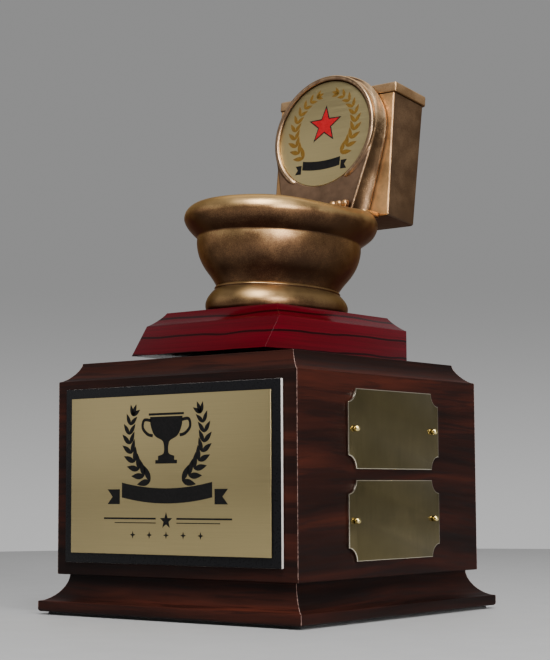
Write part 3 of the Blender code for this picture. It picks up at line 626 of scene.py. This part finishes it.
def make_box():
    lip, eased = 0.6, 0.4
    cove = concave(TOP_HALF + eased, BOX_TOP_Z - lip, BOX_HALF - eased, SHOULDER_Z, 1.4, 20)
    top_edge = arc((TOP_HALF, BOX_TOP_Z - eased), eased, 90, 0, 4)
    shoulder = arc((BOX_HALF - eased, SHOULDER_Z - eased), eased, 90, 0, 4)
    foot = arc((BOX_HALF - eased, BOX_Z + eased), eased, 0, -90, 4)
    inner = BOX_HALF - WALL
    profile = [(inner, BOX_Z), (inner, BOX_TOP_Z), *top_edge, *cove[:-1], *shoulder, *foot]
    for side in SIDES:
        mitred_strip(f"{side}_box_side", profile, side, f"{side}_panel")


def make_mouldings():
    low, high = MOULDING_LOW.z, MOULDING_HIGH.z
    toe_top = low + TOE_HEIGHT
    eased, round_over = 0.35, 1.0
    cove = concave(NECK_HALF, high - eased, TOE_HALF - eased, toe_top, 1.65, 24)
    toe = arc((TOE_HALF - eased, toe_top - eased), eased, 90, 0, 4)
    foot = arc((TOE_HALF - round_over, low + round_over), round_over, 0, -90, 6)
    profile = [(MOULDING_INNER, low), (MOULDING_INNER, high), (NECK_HALF, high), *cove[:-1],
               *toe, *foot]
    for side in SIDES:
        mitred_strip(f"{side}_foot_moulding", profile, side, f"{side}_moulding")


# ---------------------------------------------------------------- plates, pins and engraving

def make_front_plate():
    for node, name, material, slot, width in (
            ("front_backer", "backer", BLACK, "black_plate", 0.3),
            ("front_plate", "engraving_plate", GOLD, "brushed_gold", 0.15)):
        ease_edges(piece(name, cube(*corners(node)), material, [node]), width, limit=30.0)


def scooped(width, height, scoop, steps=16):
    """A rectangle whose corners are hollow arcs."""
    x, z = width / 2, height / 2
    return (arc((x, z), scoop, 180, 270, steps) + arc((x, -z), scoop, 90, 180, steps)
            + arc((-x, -z), scoop, 0, 90, steps) + arc((-x, z), scoop, 270, 360, steps))


def make_side_plate(side, row):
    """A name plate whose rounded edges carry a painted highlight, pinned at both ends."""
    node = f"{side}_plate_{row}"
    low, high = corners(node)
    middle = (low + high) / 2
    across = max(high.x - low.x, high.y - low.y)
    thick = min(high.x - low.x, high.y - low.y)
    face = max(abs(middle.x), abs(middle.y)) + thick / 2
    place = side_turn(side) @ Matrix.Translation((0.0, -face, middle.z))
    bm = prism([scooped(across, high.z - low.z, SCOOP)], thick)
    front_edges = [e for e in bm.edges if all(v.co.y < 0.001 for v in e.verts)]
    bmesh.ops.bevel(bm, geom=front_edges, offset=0.35, segments=3, profile=0.5,
                    affect="EDGES", clamp_overlap=True)
    # Faces take the darkened plate brass, a painted dark reflection; the bevelled edges the pale
    # edge brass, a painted highlight.
    for facet in bm.faces:
        facet.material_index = 0 if abs(facet.normal.y) > 0.98 else 1
    obj = piece(f"{side}_name_plate_{row}", bm, DARKENED_PLATE_BRASS, [node], place, sharp=25.0)
    obj.data.materials.append(HIGHLIT_EDGE_BRASS)
    bores = [combine(obj, rod((x, -2.0, 0.0), (x, 2.0, 0.0), PIN_BORE), "DIFFERENCE", place)
             for x in (-PIN_AT, PIN_AT)]
    settle(obj, bores, sharp=25.0)


def make_pin(node):
    """A round-headed brass pin with a short collar, its axis out of the panel."""
    low, high = corners(node)
    middle = (low + high) / 2
    outward = Vector((middle.x, 0, 0)) if abs(middle.x) > abs(middle.y) else Vector((0, middle.y, 0))
    outward.normalize()
    reach = max(abs(low.dot(outward)), abs(high.dot(outward)))
    radius = (high.z - low.z) / 2
    head = [(0.0, 0.0)] + arc((0.0, -radius), radius, 90, -30, 15)[1:]
    back = head[-1][1]
    shank = 0.65
    profile = [*head, (shank * 1.15, back - 0.15), (shank, back - 0.35), (shank, -8.0),
               (0.0, -10.0)]
    centre = middle - outward * middle.dot(outward) + outward * reach
    turn = outward.to_track_quat("Z", "Y").to_matrix().to_4x4()
    piece(f"brass_{node}", lathe(profile), PIN_BRASS, [node],
          Matrix.Translation(centre) @ turn)


def star(points, outer, inner, centre=(0.0, 0.0)):
    outline = []
    for i in range(2 * points):
        radius = inner if i % 2 else outer
        angle = math.pi / 2 + math.pi * i / points
        outline.append((centre[0] + radius * math.cos(angle), centre[1] + radius * math.sin(angle)))
    return outline


def leaf(root, heading, length, width, steps=8):
    """A pointed leaf from its root along a heading in radians."""
    along = Vector((math.cos(heading), math.sin(heading)))
    across = Vector((-along.y, along.x))
    half = [(length * i / steps, width / 2 * math.sin(math.pi * (i / steps) ** 0.8))
            for i in range(steps + 1)]
    root = Vector(root)
    upper = [root + along * t + across * w for t, w in half]
    lower = [root + along * t - across * w for t, w in reversed(half[1:-1])]
    return [tuple(p) for p in upper + lower]


def laurel(centre, radius, start, end, leaves, size):
    """Outlines of a laurel branch: pairs of leaves along an arc, and one at its tip."""
    outlines = []
    direction = 1.0 if end > start else -1.0
    for i in range(leaves):
        angle = math.radians(start + (end - start) * i / (leaves - 1))
        root = (centre[0] + radius * math.cos(angle), centre[1] + radius * math.sin(angle))
        heading = angle + direction * math.pi / 2
        taper = 1.0 - 0.35 * i / (leaves - 1)
        for lean in (-0.62, 0.62):
            outlines.append(leaf(root, heading + lean, size * taper, 0.36 * size * taper))
    outlines.append(leaf(root, heading, size * 0.7, size * 0.26))
    return outlines


def wreath(centre, radius, start, end, leaves, size):
    """The laurel branch that is given, and its mirror image on the other side."""
    return (laurel(centre, radius, start, end, leaves, size)
            + laurel(centre, radius, 540 - start, 540 - end, leaves, size))


def band(points, width):
    """A line of even width along points, as one outline."""
    points = [Vector(p) for p in points]
    left, right = [], []
    for i, point in enumerate(points):
        ahead = points[min(i + 1, len(points) - 1)] - points[max(i - 1, 0)]
        across = Vector((-ahead.y, ahead.x)).normalized() * width / 2
        left.append(tuple(point + across))
        right.append(tuple(point - across))
    return left + right[::-1]


def engraving(name, outlines, material, place):
    """Ink laid on a plate: thin solids sunk a little into the face in front of y = 0."""
    bm = prism(outlines, PRINT_THICKNESS)
    bmesh.ops.translate(bm, verts=bm.verts, vec=(0.0, -0.7 * PRINT_THICKNESS, 0.0))
    return piece(name, bm, material, place=place)


def ribbon(half, height, dip, tail, level):
    """A hanging ribbon: a bowed band with a folded swallow tail at each end."""
    steps = 16
    top = [(half * (2 * i / steps - 1), dip * ((2 * i / steps - 1) ** 2)) for i in range(steps + 1)]
    outlines = [top + [(x, z - height) for x, z in reversed(top)]]
    for sign in (-1, 1):
        x0, z0 = sign * (half - 0.35 * tail), dip - 0.45 * height
        x1 = sign * (half + tail)
        outlines.append([(x0 + sign * 0.5 * tail, z0), (x1, z0),
                         (x1 - sign * 0.35 * tail, z0 - height / 2), (x1, z0 - height),
                         (x0 + sign * 0.5 * tail, z0 - height)])
    return [[(x, z + level) for x, z in outline] for outline in outlines]


def cup(base_z, size):
    """A two-handled cup: bowl, stem, foot and rings for the handles."""
    right = curve_through([(0.48, 1.0), (0.46, 0.80), (0.34, 0.58), (0.12, 0.47), (0.07, 0.38),
                           (0.06, 0.24), (0.10, 0.17), (0.24, 0.13)], 5)
    right += [(0.24, 0.04), (0.32, 0.04), (0.32, -0.04)]
    outline = [(x * size, base_z + z * size) for x, z in right]
    outline += [(-x, z) for x, z in reversed(outline)]
    handles = []
    for sign in (-1, 1):
        path = curve_through([(0.46, 0.92), (0.66, 0.93), (0.70, 0.76), (0.56, 0.62),
                              (0.40, 0.58)], 6)
        handles.append(band([(sign * x * size, base_z + z * size) for x, z in path], 0.07 * size))
    rim = [(-0.52 * size, base_z + 1.03 * size), (0.52 * size, base_z + 1.03 * size),
           (0.52 * size, base_z + 1.08 * size), (-0.52 * size, base_z + 1.08 * size)]
    return [outline, *handles, rim]


def make_front_engraving():
    """A cup between laurels over a ribbon and a ruled line, all in black."""
    low, high = corners("front_plate")
    place = Matrix.Translation((0.0, low.y, (low.z + high.z) / 2))
    rules = [star(5, 3.4, 1.4, (0.0, -18.3))]
    for sign in (-1, 1):
        rules += [band([(sign * 34.0, -17.5), (sign * 5.5, -17.5)], 0.7),
                  band([(sign * 28.0, -19.2), (sign * 5.5, -19.2)], 0.35)]
    rules += [star(4, 1.5, 0.55, (x, -24.0)) for x in (-18.0, -9.0, 0.0, 9.0, 18.0)]
    for name, outlines in (("cup", cup(5.0, 18.0)),
                           ("laurel", wreath((0.0, 15.5), 20.0, 245, 156, 9, 7.4)),
                           ("ribbon", ribbon(24.0, 6.0, 2.4, 8.0, -5.5)), ("rules", rules)):
        engraving(f"engraved_{name}", outlines, INK, place)


# ---------------------------------------------------------------- plinth

def make_plinth():
    """A lacquered block with a sloping front and a cove round its top."""
    side_top = PLINTH_LOW.z + PLINTH_SIDE_HEIGHT
    bm = cube((PLINTH_LOW.x, PLINTH_FRONT, PLINTH_LOW.z), (PLINTH_HIGH.x, PLINTH_HIGH.y, side_top))
    for vert in bm.verts:
        if vert.co.y < 0.0 and vert.co.z < PLINTH_LOW.z + 1.0:
            vert.co.y = PLINTH_LOW.y
    out, rise = PLINTH_COVE
    cove = concave(0.0, rise, out, 0.0, power=1.2, steps=14)[::-1]
    top = max(bm.faces, key=lambda face: face.calc_center_median().z)
    for (x, height), (next_x, next_height) in zip(cove, cove[1:]):
        bmesh.ops.inset_region(bm, faces=[top], thickness=x - next_x,
                               depth=next_height - height, use_even_offset=True)
    obj = piece("lacquered_plinth", bm, ROSEWOOD, ["plinth"])
    ease_edges(obj, 0.45, limit=24.0, sharp=50.0)


# ---------------------------------------------------------------- toilet

def eased_step(low, high, value):
    """0 below low, 1 above high, and an even step between."""
    t = min(max((value - low) / (high - low), 0.0), 1.0)
    return t * t * (3.0 - 2.0 * t)


def bowl_ring(half_width, height, elongation, centre_y, tilt=0.0, segments=168):
    """One level of the bowl; its rim sags at the sides, and its belly lines may tilt."""
    ring = []
    for i in range(segments):
        angle = TAU * i / segments
        y = centre_y + (half_width + elongation) * math.sin(angle)
        sag = max(0.0, 1.0 - ((y - SADDLE_Y) / SADDLE_REACH) ** 2) ** 2
        fall = SADDLE * eased_step(36.0, 46.0, height) * sag
        fall += tilt * (y - TILT_Y) * math.sin(math.pi * height / SEAT_TOP)
        ring.append((half_width * math.cos(angle), y, BOWL_Z + height - fall))
    return ring


def make_bowl():
    """The cast bowl: foot, waist bead, belly, seat roll, open basin and hinge deck."""
    rings = []
    for stretch in (FOOT_ROLL, WAIST, BELLY, SEAT_ROLL):
        for half_width, height in curve_through(stretch, 3):
            back = SEAT_BACK * eased_step(31.5, 37.0, height)
            rings.append(bowl_ring(half_width, height, ELONGATION + back,
                                   FOOT_Y + DRIFT * height + back, TILT))
    rings += [bowl_ring(half_width, height, BASIN_ELONGATION, BASIN_Y)
              for half_width, height in curve_through(BASIN, 3)]
    bm = loft(rings)
    bmesh.ops.remove_doubles(bm, verts=bm.verts, dist=0.01)
    obj = piece("cast_bowl", bm, BRONZE, ["bowl"], sharp=45.0)
    eased = 0.35
    levels = ((eased, DECK_LOW), (0.0, DECK_LOW + eased), (0.0, DECK_HIGH - eased),
              (eased, DECK_HIGH))
    deck = combine(obj, loft([rounded_rectangle(DECK_HALF - inset, DECK_NEAR, DECK_FAR - inset,
                                                (2.0, 2.0), BOWL_Z + height)
                              for inset, height in levels]), "UNION")
    seat = combine(obj, cube((-2 * LID_HALF, -GAP / 2, -GAP / 2),
                             (2 * LID_HALF, 2 * LID_DEPTH, TANK_HEIGHT)), "DIFFERENCE", tank_place())
    settle(obj, [deck, seat], sharp=45.0)


def tank_place():
    return Matrix.Translation(TANK_FOOT) @ Matrix.Rotation(-TANK_LEAN, 4, "X")


def cover_place():
    return Matrix.Translation(COVER_CENTRE) @ Matrix.Rotation(-COVER_LEAN, 4, "X")


def rounded_rectangle(half, near, far, radii, z, steps=8):
    """A ring at height z: |x| up to half, y from near to far, with (front, back) radii."""
    front, back = radii
    points = (arc((half - front, near + front), front, -90, 0, steps)
              + arc((half - back, far - back), back, 0, 90, steps)
              + arc((-half + back, far - back), back, 90, 180, steps)
              + arc((-half + front, near + front), front, 180, 270, steps))
    return [(x, y, z) for x, y in points]


def blend(ends, share):
    """The value a share of the way from the first end to the second."""
    return ends[0] + (ends[1] - ends[0]) * share


def under_round(radius, steps):
    """(inset, height) points of a quarter round, from its foot up to the full width."""
    angles = [math.pi / 2 * i / steps for i in range(steps + 1)]
    return [(radius * (1 - math.sin(a)), radius * (1 - math.cos(a))) for a in angles]


def make_tank():
    """The tank's tapering box, its upright edges crisp and its bottom edge eased."""
    rings = []
    eased = 0.9
    levels = under_round(eased, 5) + [(0.0, TANK_HEIGHT * i / 10) for i in range(1, 11)]
    for inset, z in levels:
        half = blend(TANK_HALF, z / TANK_HEIGHT) - inset
        depth = blend(TANK_DEPTH, z / TANK_HEIGHT)
        rings.append(rounded_rectangle(half, inset, depth - inset, (1.15, 1.4), z))
    piece("cast_tank", loft(rings), TANK_BRONZE, ["tank"], tank_place(),
          sharp=50.0)


def make_tank_lid():
    """The tank's lid: eased edges, rounder back corners and a low crown."""
    bottom = TANK_HEIGHT + GAP
    eased, crown = 0.7, 1.2
    under = under_round(eased, 4)
    over = [(inset, LID_THICKNESS - z) for inset, z in reversed(under_round(eased, 5))]
    dome = [(12.0 * t, LID_THICKNESS + crown * math.sin(math.pi / 2 * t) ** 0.8)
            for t in (0.1, 0.25, 0.45, 0.7, 1.0)]
    rings = []
    for inset, z in under + over + dome:
        radii = (max(0.8, 1.0 - inset), max(0.9, 1.9 - inset))
        rings.append(rounded_rectangle(LID_HALF - inset, inset, LID_DEPTH - inset, radii,
                                       bottom + z))
    piece("cast_tank_lid", loft(rings), COPPER, ["tank_lid"], tank_place(),
          sharp=60.0)


def cover_outline(radius, foot_half, steps=120):
    """A round head that narrows in straight lines to its foot, as (x, s) points."""
    corner = 1.0
    reach = math.hypot(foot_half, COVER_FOOT)
    tangent = math.degrees(math.atan2(COVER_FOOT, foot_half) + math.acos(radius / reach))
    head = arc((0.0, 0.0), radius, tangent, 180.0 - tangent, steps)
    right = [(foot_half - corner, COVER_FOOT), (foot_half, COVER_FOOT + corner)]
    return right + head + [(-x, s) for x, s in reversed(right)]


def tube(path, radii, around=20):
    """A round wire along a path that lies across Y, with a radius for each point."""
    rings = []
    for i, (centre, radius) in enumerate(zip(path, radii)):
        along = path[min(i + 1, len(path) - 1)] - path[max(i - 1, 0)]
        outward = Vector((along.z, 0.0, -along.x)).normalized()
        rings.append([centre + outward * (radius * math.cos(TAU * k / around))
                      + Vector((0.0, radius * math.sin(TAU * k / around), 0.0))
                      for k in range(around)])
    return loft(rings)


def bead_mesh():
    """The round bead that frames the insert, fading out at both ends near the foot."""
    steps = 150
    path, radii = [], []
    for i in range(steps + 1):
        angle = BEAD_END + (math.pi - 2 * BEAD_END) * i / steps
        from_end = min(1.0, min(i, steps - i) / 5)
        path.append(Vector((BEAD_RING * math.cos(angle), -0.1, BEAD_RING * math.sin(angle))))
        radii.append(BEAD_RADIUS * min(1.0, math.sqrt(max(0.04, 1 - (1 - from_end) ** 2))))
    return tube(path, radii)


def make_cover():
    """The raised seat cover, joined, cut and then melted together like a casting."""
    relative = COVER_LEAN - TANK_LEAN
    reach_y, reach_z = TANK_FOOT.y - COVER_CENTRE.y, COVER_CENTRE.z - TANK_FOOT.z
    clear = reach_y * math.cos(TANK_LEAN) + reach_z * math.sin(TANK_LEAN) - GAP

    def back_of(s):
        """Depth of the back face, which lies along the tank, at a height s over the centre."""
        return (clear - s * math.sin(relative)) / math.cos(relative)

    rings = []
    shares = [0.0, 0.1] + [COVER_LIP + (1.0 - COVER_LIP) * i / 16 for i in range(17)]
    for share in shares:
        flare = min(1.0, (1.0 - share) / (1.0 - COVER_LIP)) ** 1.7
        outline = cover_outline(blend(COVER_RADII, flare), blend(COVER_FEET, flare))
        rings.append([(x, back_of(s) * (1.0 - share), s * (1.0 - COVER_FLAT * flare * (s > 0.0)))
                      for x, s in outline])
    place = cover_place()
    obj = piece("cast_seat_cover", loft(rings), COVER_BRONZE, ["seat_cover"],
                place)
    slope = cube((-LID_HALF, -LID_DEPTH, 0.0), (LID_HALF, 0.0, 2 * LID_HALF))
    slope.transform(Matrix.Translation((0.0, 0.0, COVER_BEND))
                    @ Matrix.Rotation(-COVER_SETBACK, 4, "X"))
    wedge = combine(obj, slope, "DIFFERENCE", place)
    boss = combine(wedge, rod((0.0, -2 * LID_DEPTH, 0.0), (0.0, LID_DEPTH, 0.0), BOSS_RADIUS, 128),
                   "DIFFERENCE", place)
    settle(obj, [wedge, boss])
    melt(obj, voxel=0.35, rounds=40)
    bead = combine(obj, bead_mesh(), "UNION", place)
    edge = [Vector((x, back_of(s) - CREST_SETBACK, s * (1.0 - COVER_FLAT * (s > 0.0))))
            for x, s in cover_outline(COVER_RADII[1] - 0.5, COVER_FEET[1] - 0.5)]
    crest = combine(obj, tube(edge, [CREST_RADIUS] * len(edge)), "UNION", place)
    recess = combine(obj, rod((0.0, INSERT_THICKNESS + 0.1, 0.0), (0.0, -4.0, 0.0),
                              INSERT_RADIUS + 0.12, 128), "DIFFERENCE", place)
    seat = combine(obj, cube((-LID_HALF, 0.0, BOWL_Z), (LID_HALF, TANK_FOOT.y + LID_DEPTH,
                                                        BOWL_Z + SEAT_TOP + 0.05)), "DIFFERENCE")
    settle(obj, [bead, crest, recess, seat])
    melt(obj, voxel=0.30, rounds=8)
    mark_ridges(obj)


def melt(obj, voxel, rounds):
    """Remesh a joined form in small voxels and relax it, so that its edges round over."""
    remesh = obj.modifiers.new("Melt", "REMESH")
    remesh.mode = "VOXEL"
    remesh.voxel_size = voxel * MM
    relax = obj.modifiers.new("Relax", "SMOOTH")
    relax.factor = 0.5
    relax.iterations = rounds
    settle(obj, sharp=180.0)


def mark_ridges(obj, rounds=3):
    """Store on each vertex how far it stands above its neighbours, in mm, evened out a little."""
    mesh = obj.data
    links = [[] for _ in mesh.vertices]
    for edge in mesh.edges:
        a, b = edge.vertices
        links[a].append(b)
        links[b].append(a)
    points = [vert.co.copy() for vert in mesh.vertices]
    heights = []
    for vert, near in zip(mesh.vertices, links):
        middle = sum((points[i] for i in near), Vector()) / max(1, len(near))
        heights.append((vert.co - middle).dot(vert.normal) / MM)
    for _ in range(rounds):
        heights = [(height + sum(heights[i] for i in near)) / (1 + len(near))
                   for height, near in zip(heights, links)]
    mesh.attributes.new("ridge", "FLOAT", "POINT").data.foreach_set("value", heights)


def make_insert():
    """The round insert: satin gold, a rim line, a star in a laurel wreath and a ribbon."""
    place = cover_place()
    disc = [(0.0, 0.0), (INSERT_RADIUS - 0.25, 0.0), (INSERT_RADIUS - 0.07, -0.07),
            (INSERT_RADIUS, -0.25), (INSERT_RADIUS, -INSERT_THICKNESS), (0.0, -INSERT_THICKNESS)]
    forward = Matrix.Rotation(math.pi / 2, 4, "X")
    piece("insert_disc", lathe(disc, 128), INSERT_GOLD, ["round_insert"],
          place @ forward, sharp=30.0)
    for name, outlines, ink, lift in (
            ("laurel", wreath((0.0, 2.5), 17.0, 232, 112, 10, 6.2), BROWN_INK, 0.0),
            ("star_edge", [star(5, 9.6, 3.9, (0.0, 4.0))], INK, 0.0),
            ("star", [star(5, 8.2, 3.25, (0.0, 4.0))], RED_INK, 0.5 * PRINT_THICKNESS),
            ("ribbon", ribbon(10.5, 4.2, 1.0, 4.0, -13.4), INK, 0.0)):
        engraving(f"insert_{name}", outlines, ink,
                  place @ Matrix.Translation((0.0, -lift, 0.0)))


def make_hinge(side, sign):
    """Three rounded knuckles in a row on a foot that stands on the seat."""
    length = HINGE_OUTER - HINGE_INNER
    half = length / 6
    profile = [(0.0, length)]
    for middle in (5 * half, 3 * half, half):
        for a in range(12, 169, 12):
            angle = math.radians(a)
            profile.append((HINGE_RADIUS * (0.35 + 0.65 * math.sin(angle)),
                            middle + half * math.cos(angle)))
    profile.append((0.0, 0.0))
    start = HINGE_INNER if sign > 0 else -HINGE_OUTER
    place = (Matrix.Translation((start, HINGE_Y, HINGE_Z)) @ Matrix.Rotation(math.pi / 2, 4, "Y"))
    obj = piece(f"cast_hinge_{side}", lathe(profile, 32), TANK_BRONZE,
                [f"hinge_{side}"], place)
    low, high = corners(f"hinge_{side}")
    foot = combine(obj, cube((low.x + 0.6, HINGE_Y - 1.3, BOWL_Z + SEAT_TOP + 0.05),
                             (high.x - 0.6, HINGE_Y + 1.3, HINGE_Z)), "UNION")
    settle(obj, [foot])
    melt(obj, voxel=0.18, rounds=3)


# ---------------------------------------------------------------- felt and hidden nodes

def make_felt(name, node):
    """A felt sheet: soft rounded edges, and square corners worn a little round."""
    low, high = corners(node)
    full = 0.35 * (high.z - low.z)
    under = ((full, 0.0), (0.3 * full, 0.3 * full), (0.0, full))
    levels = ([(inset, low.z + up) for inset, up in under]
              + [(inset, high.z - up) for inset, up in reversed(under)])
    rings = [rounded_rectangle(high.x - inset, low.y + inset, high.y - inset, (1.2, 1.2), z)
             for inset, z in levels]
    felt = piece(name, loft(rings), FELT, [node])


def dress_hidden_nodes():
    """Materials for the CAD nodes that stay as they are."""
    for name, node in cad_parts.items():
        if node.hide_render:
            continue
        if "screw" in name:
            material = STEEL
        elif name in ("bottom_board", "foot_board") or name.startswith("glue_block"):
            material = BOARD
        else:
            material = WALNUT_X
        node.data.materials.clear()
        node.data.materials.append(material)


# ---------------------------------------------------------------- stage, lights and camera

def make_stage():
    """A plain pale floor and an even grey surround."""
    bm = bmesh.new()
    bmesh.ops.create_circle(bm, cap_ends=True, segments=128, radius=FLOOR_RADIUS)
    floor = to_object("floor", bm)
    finish = Finish("pale_floor")
    finish.set(base_color=finish.ramp(finish.noise(60.0), (0.3, FLOOR_GREYS[0]),
                                      (0.7, FLOOR_GREYS[1])), roughness=0.55)
    floor.data.materials.append(finish.material)
    make_surround()


def make_surround():
    """A dim grey studio that brightens towards the horizon behind the trophy."""
    world = bpy.data.worlds.new("surround")
    bpy.context.scene.world = world
    world.use_nodes = True
    surround = Nodes(world.node_tree)
    place = surround.node("TexCoord").outputs["Generated"]
    height = surround.axes(place)[2]
    behind = surround.node("VectorMath", {0: place, 1: BEHIND},
                           operation="DOT_PRODUCT").outputs["Value"]
    backdrop = surround.between(height, -0.06, 0.13, 0.60, 0.285)
    beside = surround.between(height, 0.0, 0.14, 0.34, 0.27)
    level = surround.between(behind, 0.60, 0.92, beside, backdrop)
    glow = surround.between(behind, -0.25, 0.15, SURROUND, level)
    surround.feed(surround.tree.nodes["Background"].inputs["Color"], glow)


def softbox(name, azimuth, elevation, distance, size, power, aim=0.12):
    """A rectangular light at a compass azimuth (0 is the front, 90 the right side)."""
    azimuth, elevation = math.radians(azimuth), math.radians(elevation)
    light = bpy.data.lights.new(name, "AREA")
    light.shape = "RECTANGLE"
    light.size, light.size_y = size
    light.energy = power
    obj = bpy.data.objects.new(name, light)
    target = Vector((0.0, 0.0, aim))
    direction = Vector((math.sin(azimuth) * math.cos(elevation),
                        -math.cos(azimuth) * math.cos(elevation), math.sin(elevation)))
    obj.location = target + direction * distance
    obj.rotation_euler = direction.to_track_quat("Z", "Y").to_euler()
    bpy.context.scene.collection.objects.link(obj)


def make_lights():
    softbox("key", 72.0, 14.0, 1.2, (0.20, 0.55), 11.0)
    softbox("front", 44.0, 53.0, 1.3, (0.42, 0.95), 24.0)
    softbox("left", -40.0, 17.0, 1.3, (1.15, 0.90), 1.7)
    softbox("back", 212.0, 58.0, 2.6, (1.8, 1.0), 7.0)


def make_camera():
    """A low three-quarter view of the front and the right side."""
    azimuth, pitch, roll = (math.radians(a) for a in (38.254, 5.519, -0.276))
    distance, aside, height = 705.37, 2.398, 51.75
    ahead = Vector((-math.sin(azimuth), math.cos(azimuth), 0.0))
    right = Vector((math.cos(azimuth), math.sin(azimuth), 0.0))
    up = Vector((0.0, 0.0, 1.0))
    place = (right * aside - ahead * distance + up * height) * MM
    view = ahead * math.cos(pitch) + up * math.sin(pitch)
    rise = up * math.cos(pitch) - ahead * math.sin(pitch)
    across = right * math.cos(roll) + rise * math.sin(roll)
    rise = rise * math.cos(roll) - right * math.sin(roll)
    data = bpy.data.cameras.new("camera")
    data.sensor_fit = "VERTICAL"
    data.sensor_height = 24.0
    data.lens = 59.71
    camera = bpy.data.objects.new("camera", data)
    turn = Matrix((across, rise, -view)).transposed().to_4x4()
    camera.matrix_world = Matrix.Translation(place) @ turn
    bpy.context.scene.collection.objects.link(camera)
    bpy.context.scene.camera = camera


def main():
    make_camera()
    make_box()
    make_mouldings()
    make_front_plate()
    make_front_engraving()
    for side in ("right", "back", "left"):
        for row in ("upper", "lower"):
            make_side_plate(side, row)
            for end in ("a", "b"):
                make_pin(f"pin_{side}_{row}_{end}")
    make_plinth()
    make_bowl()
    make_tank()
    make_tank_lid()
    make_cover()
    make_insert()
    for side, sign in (("left", -1), ("right", 1)):
        make_hinge(side, sign)
    make_felt("felt_foot", "felt_base")
    make_felt("plinth_felt", "plinth_pad")
    dress_hidden_nodes()
    make_stage()
    make_lights()


main()
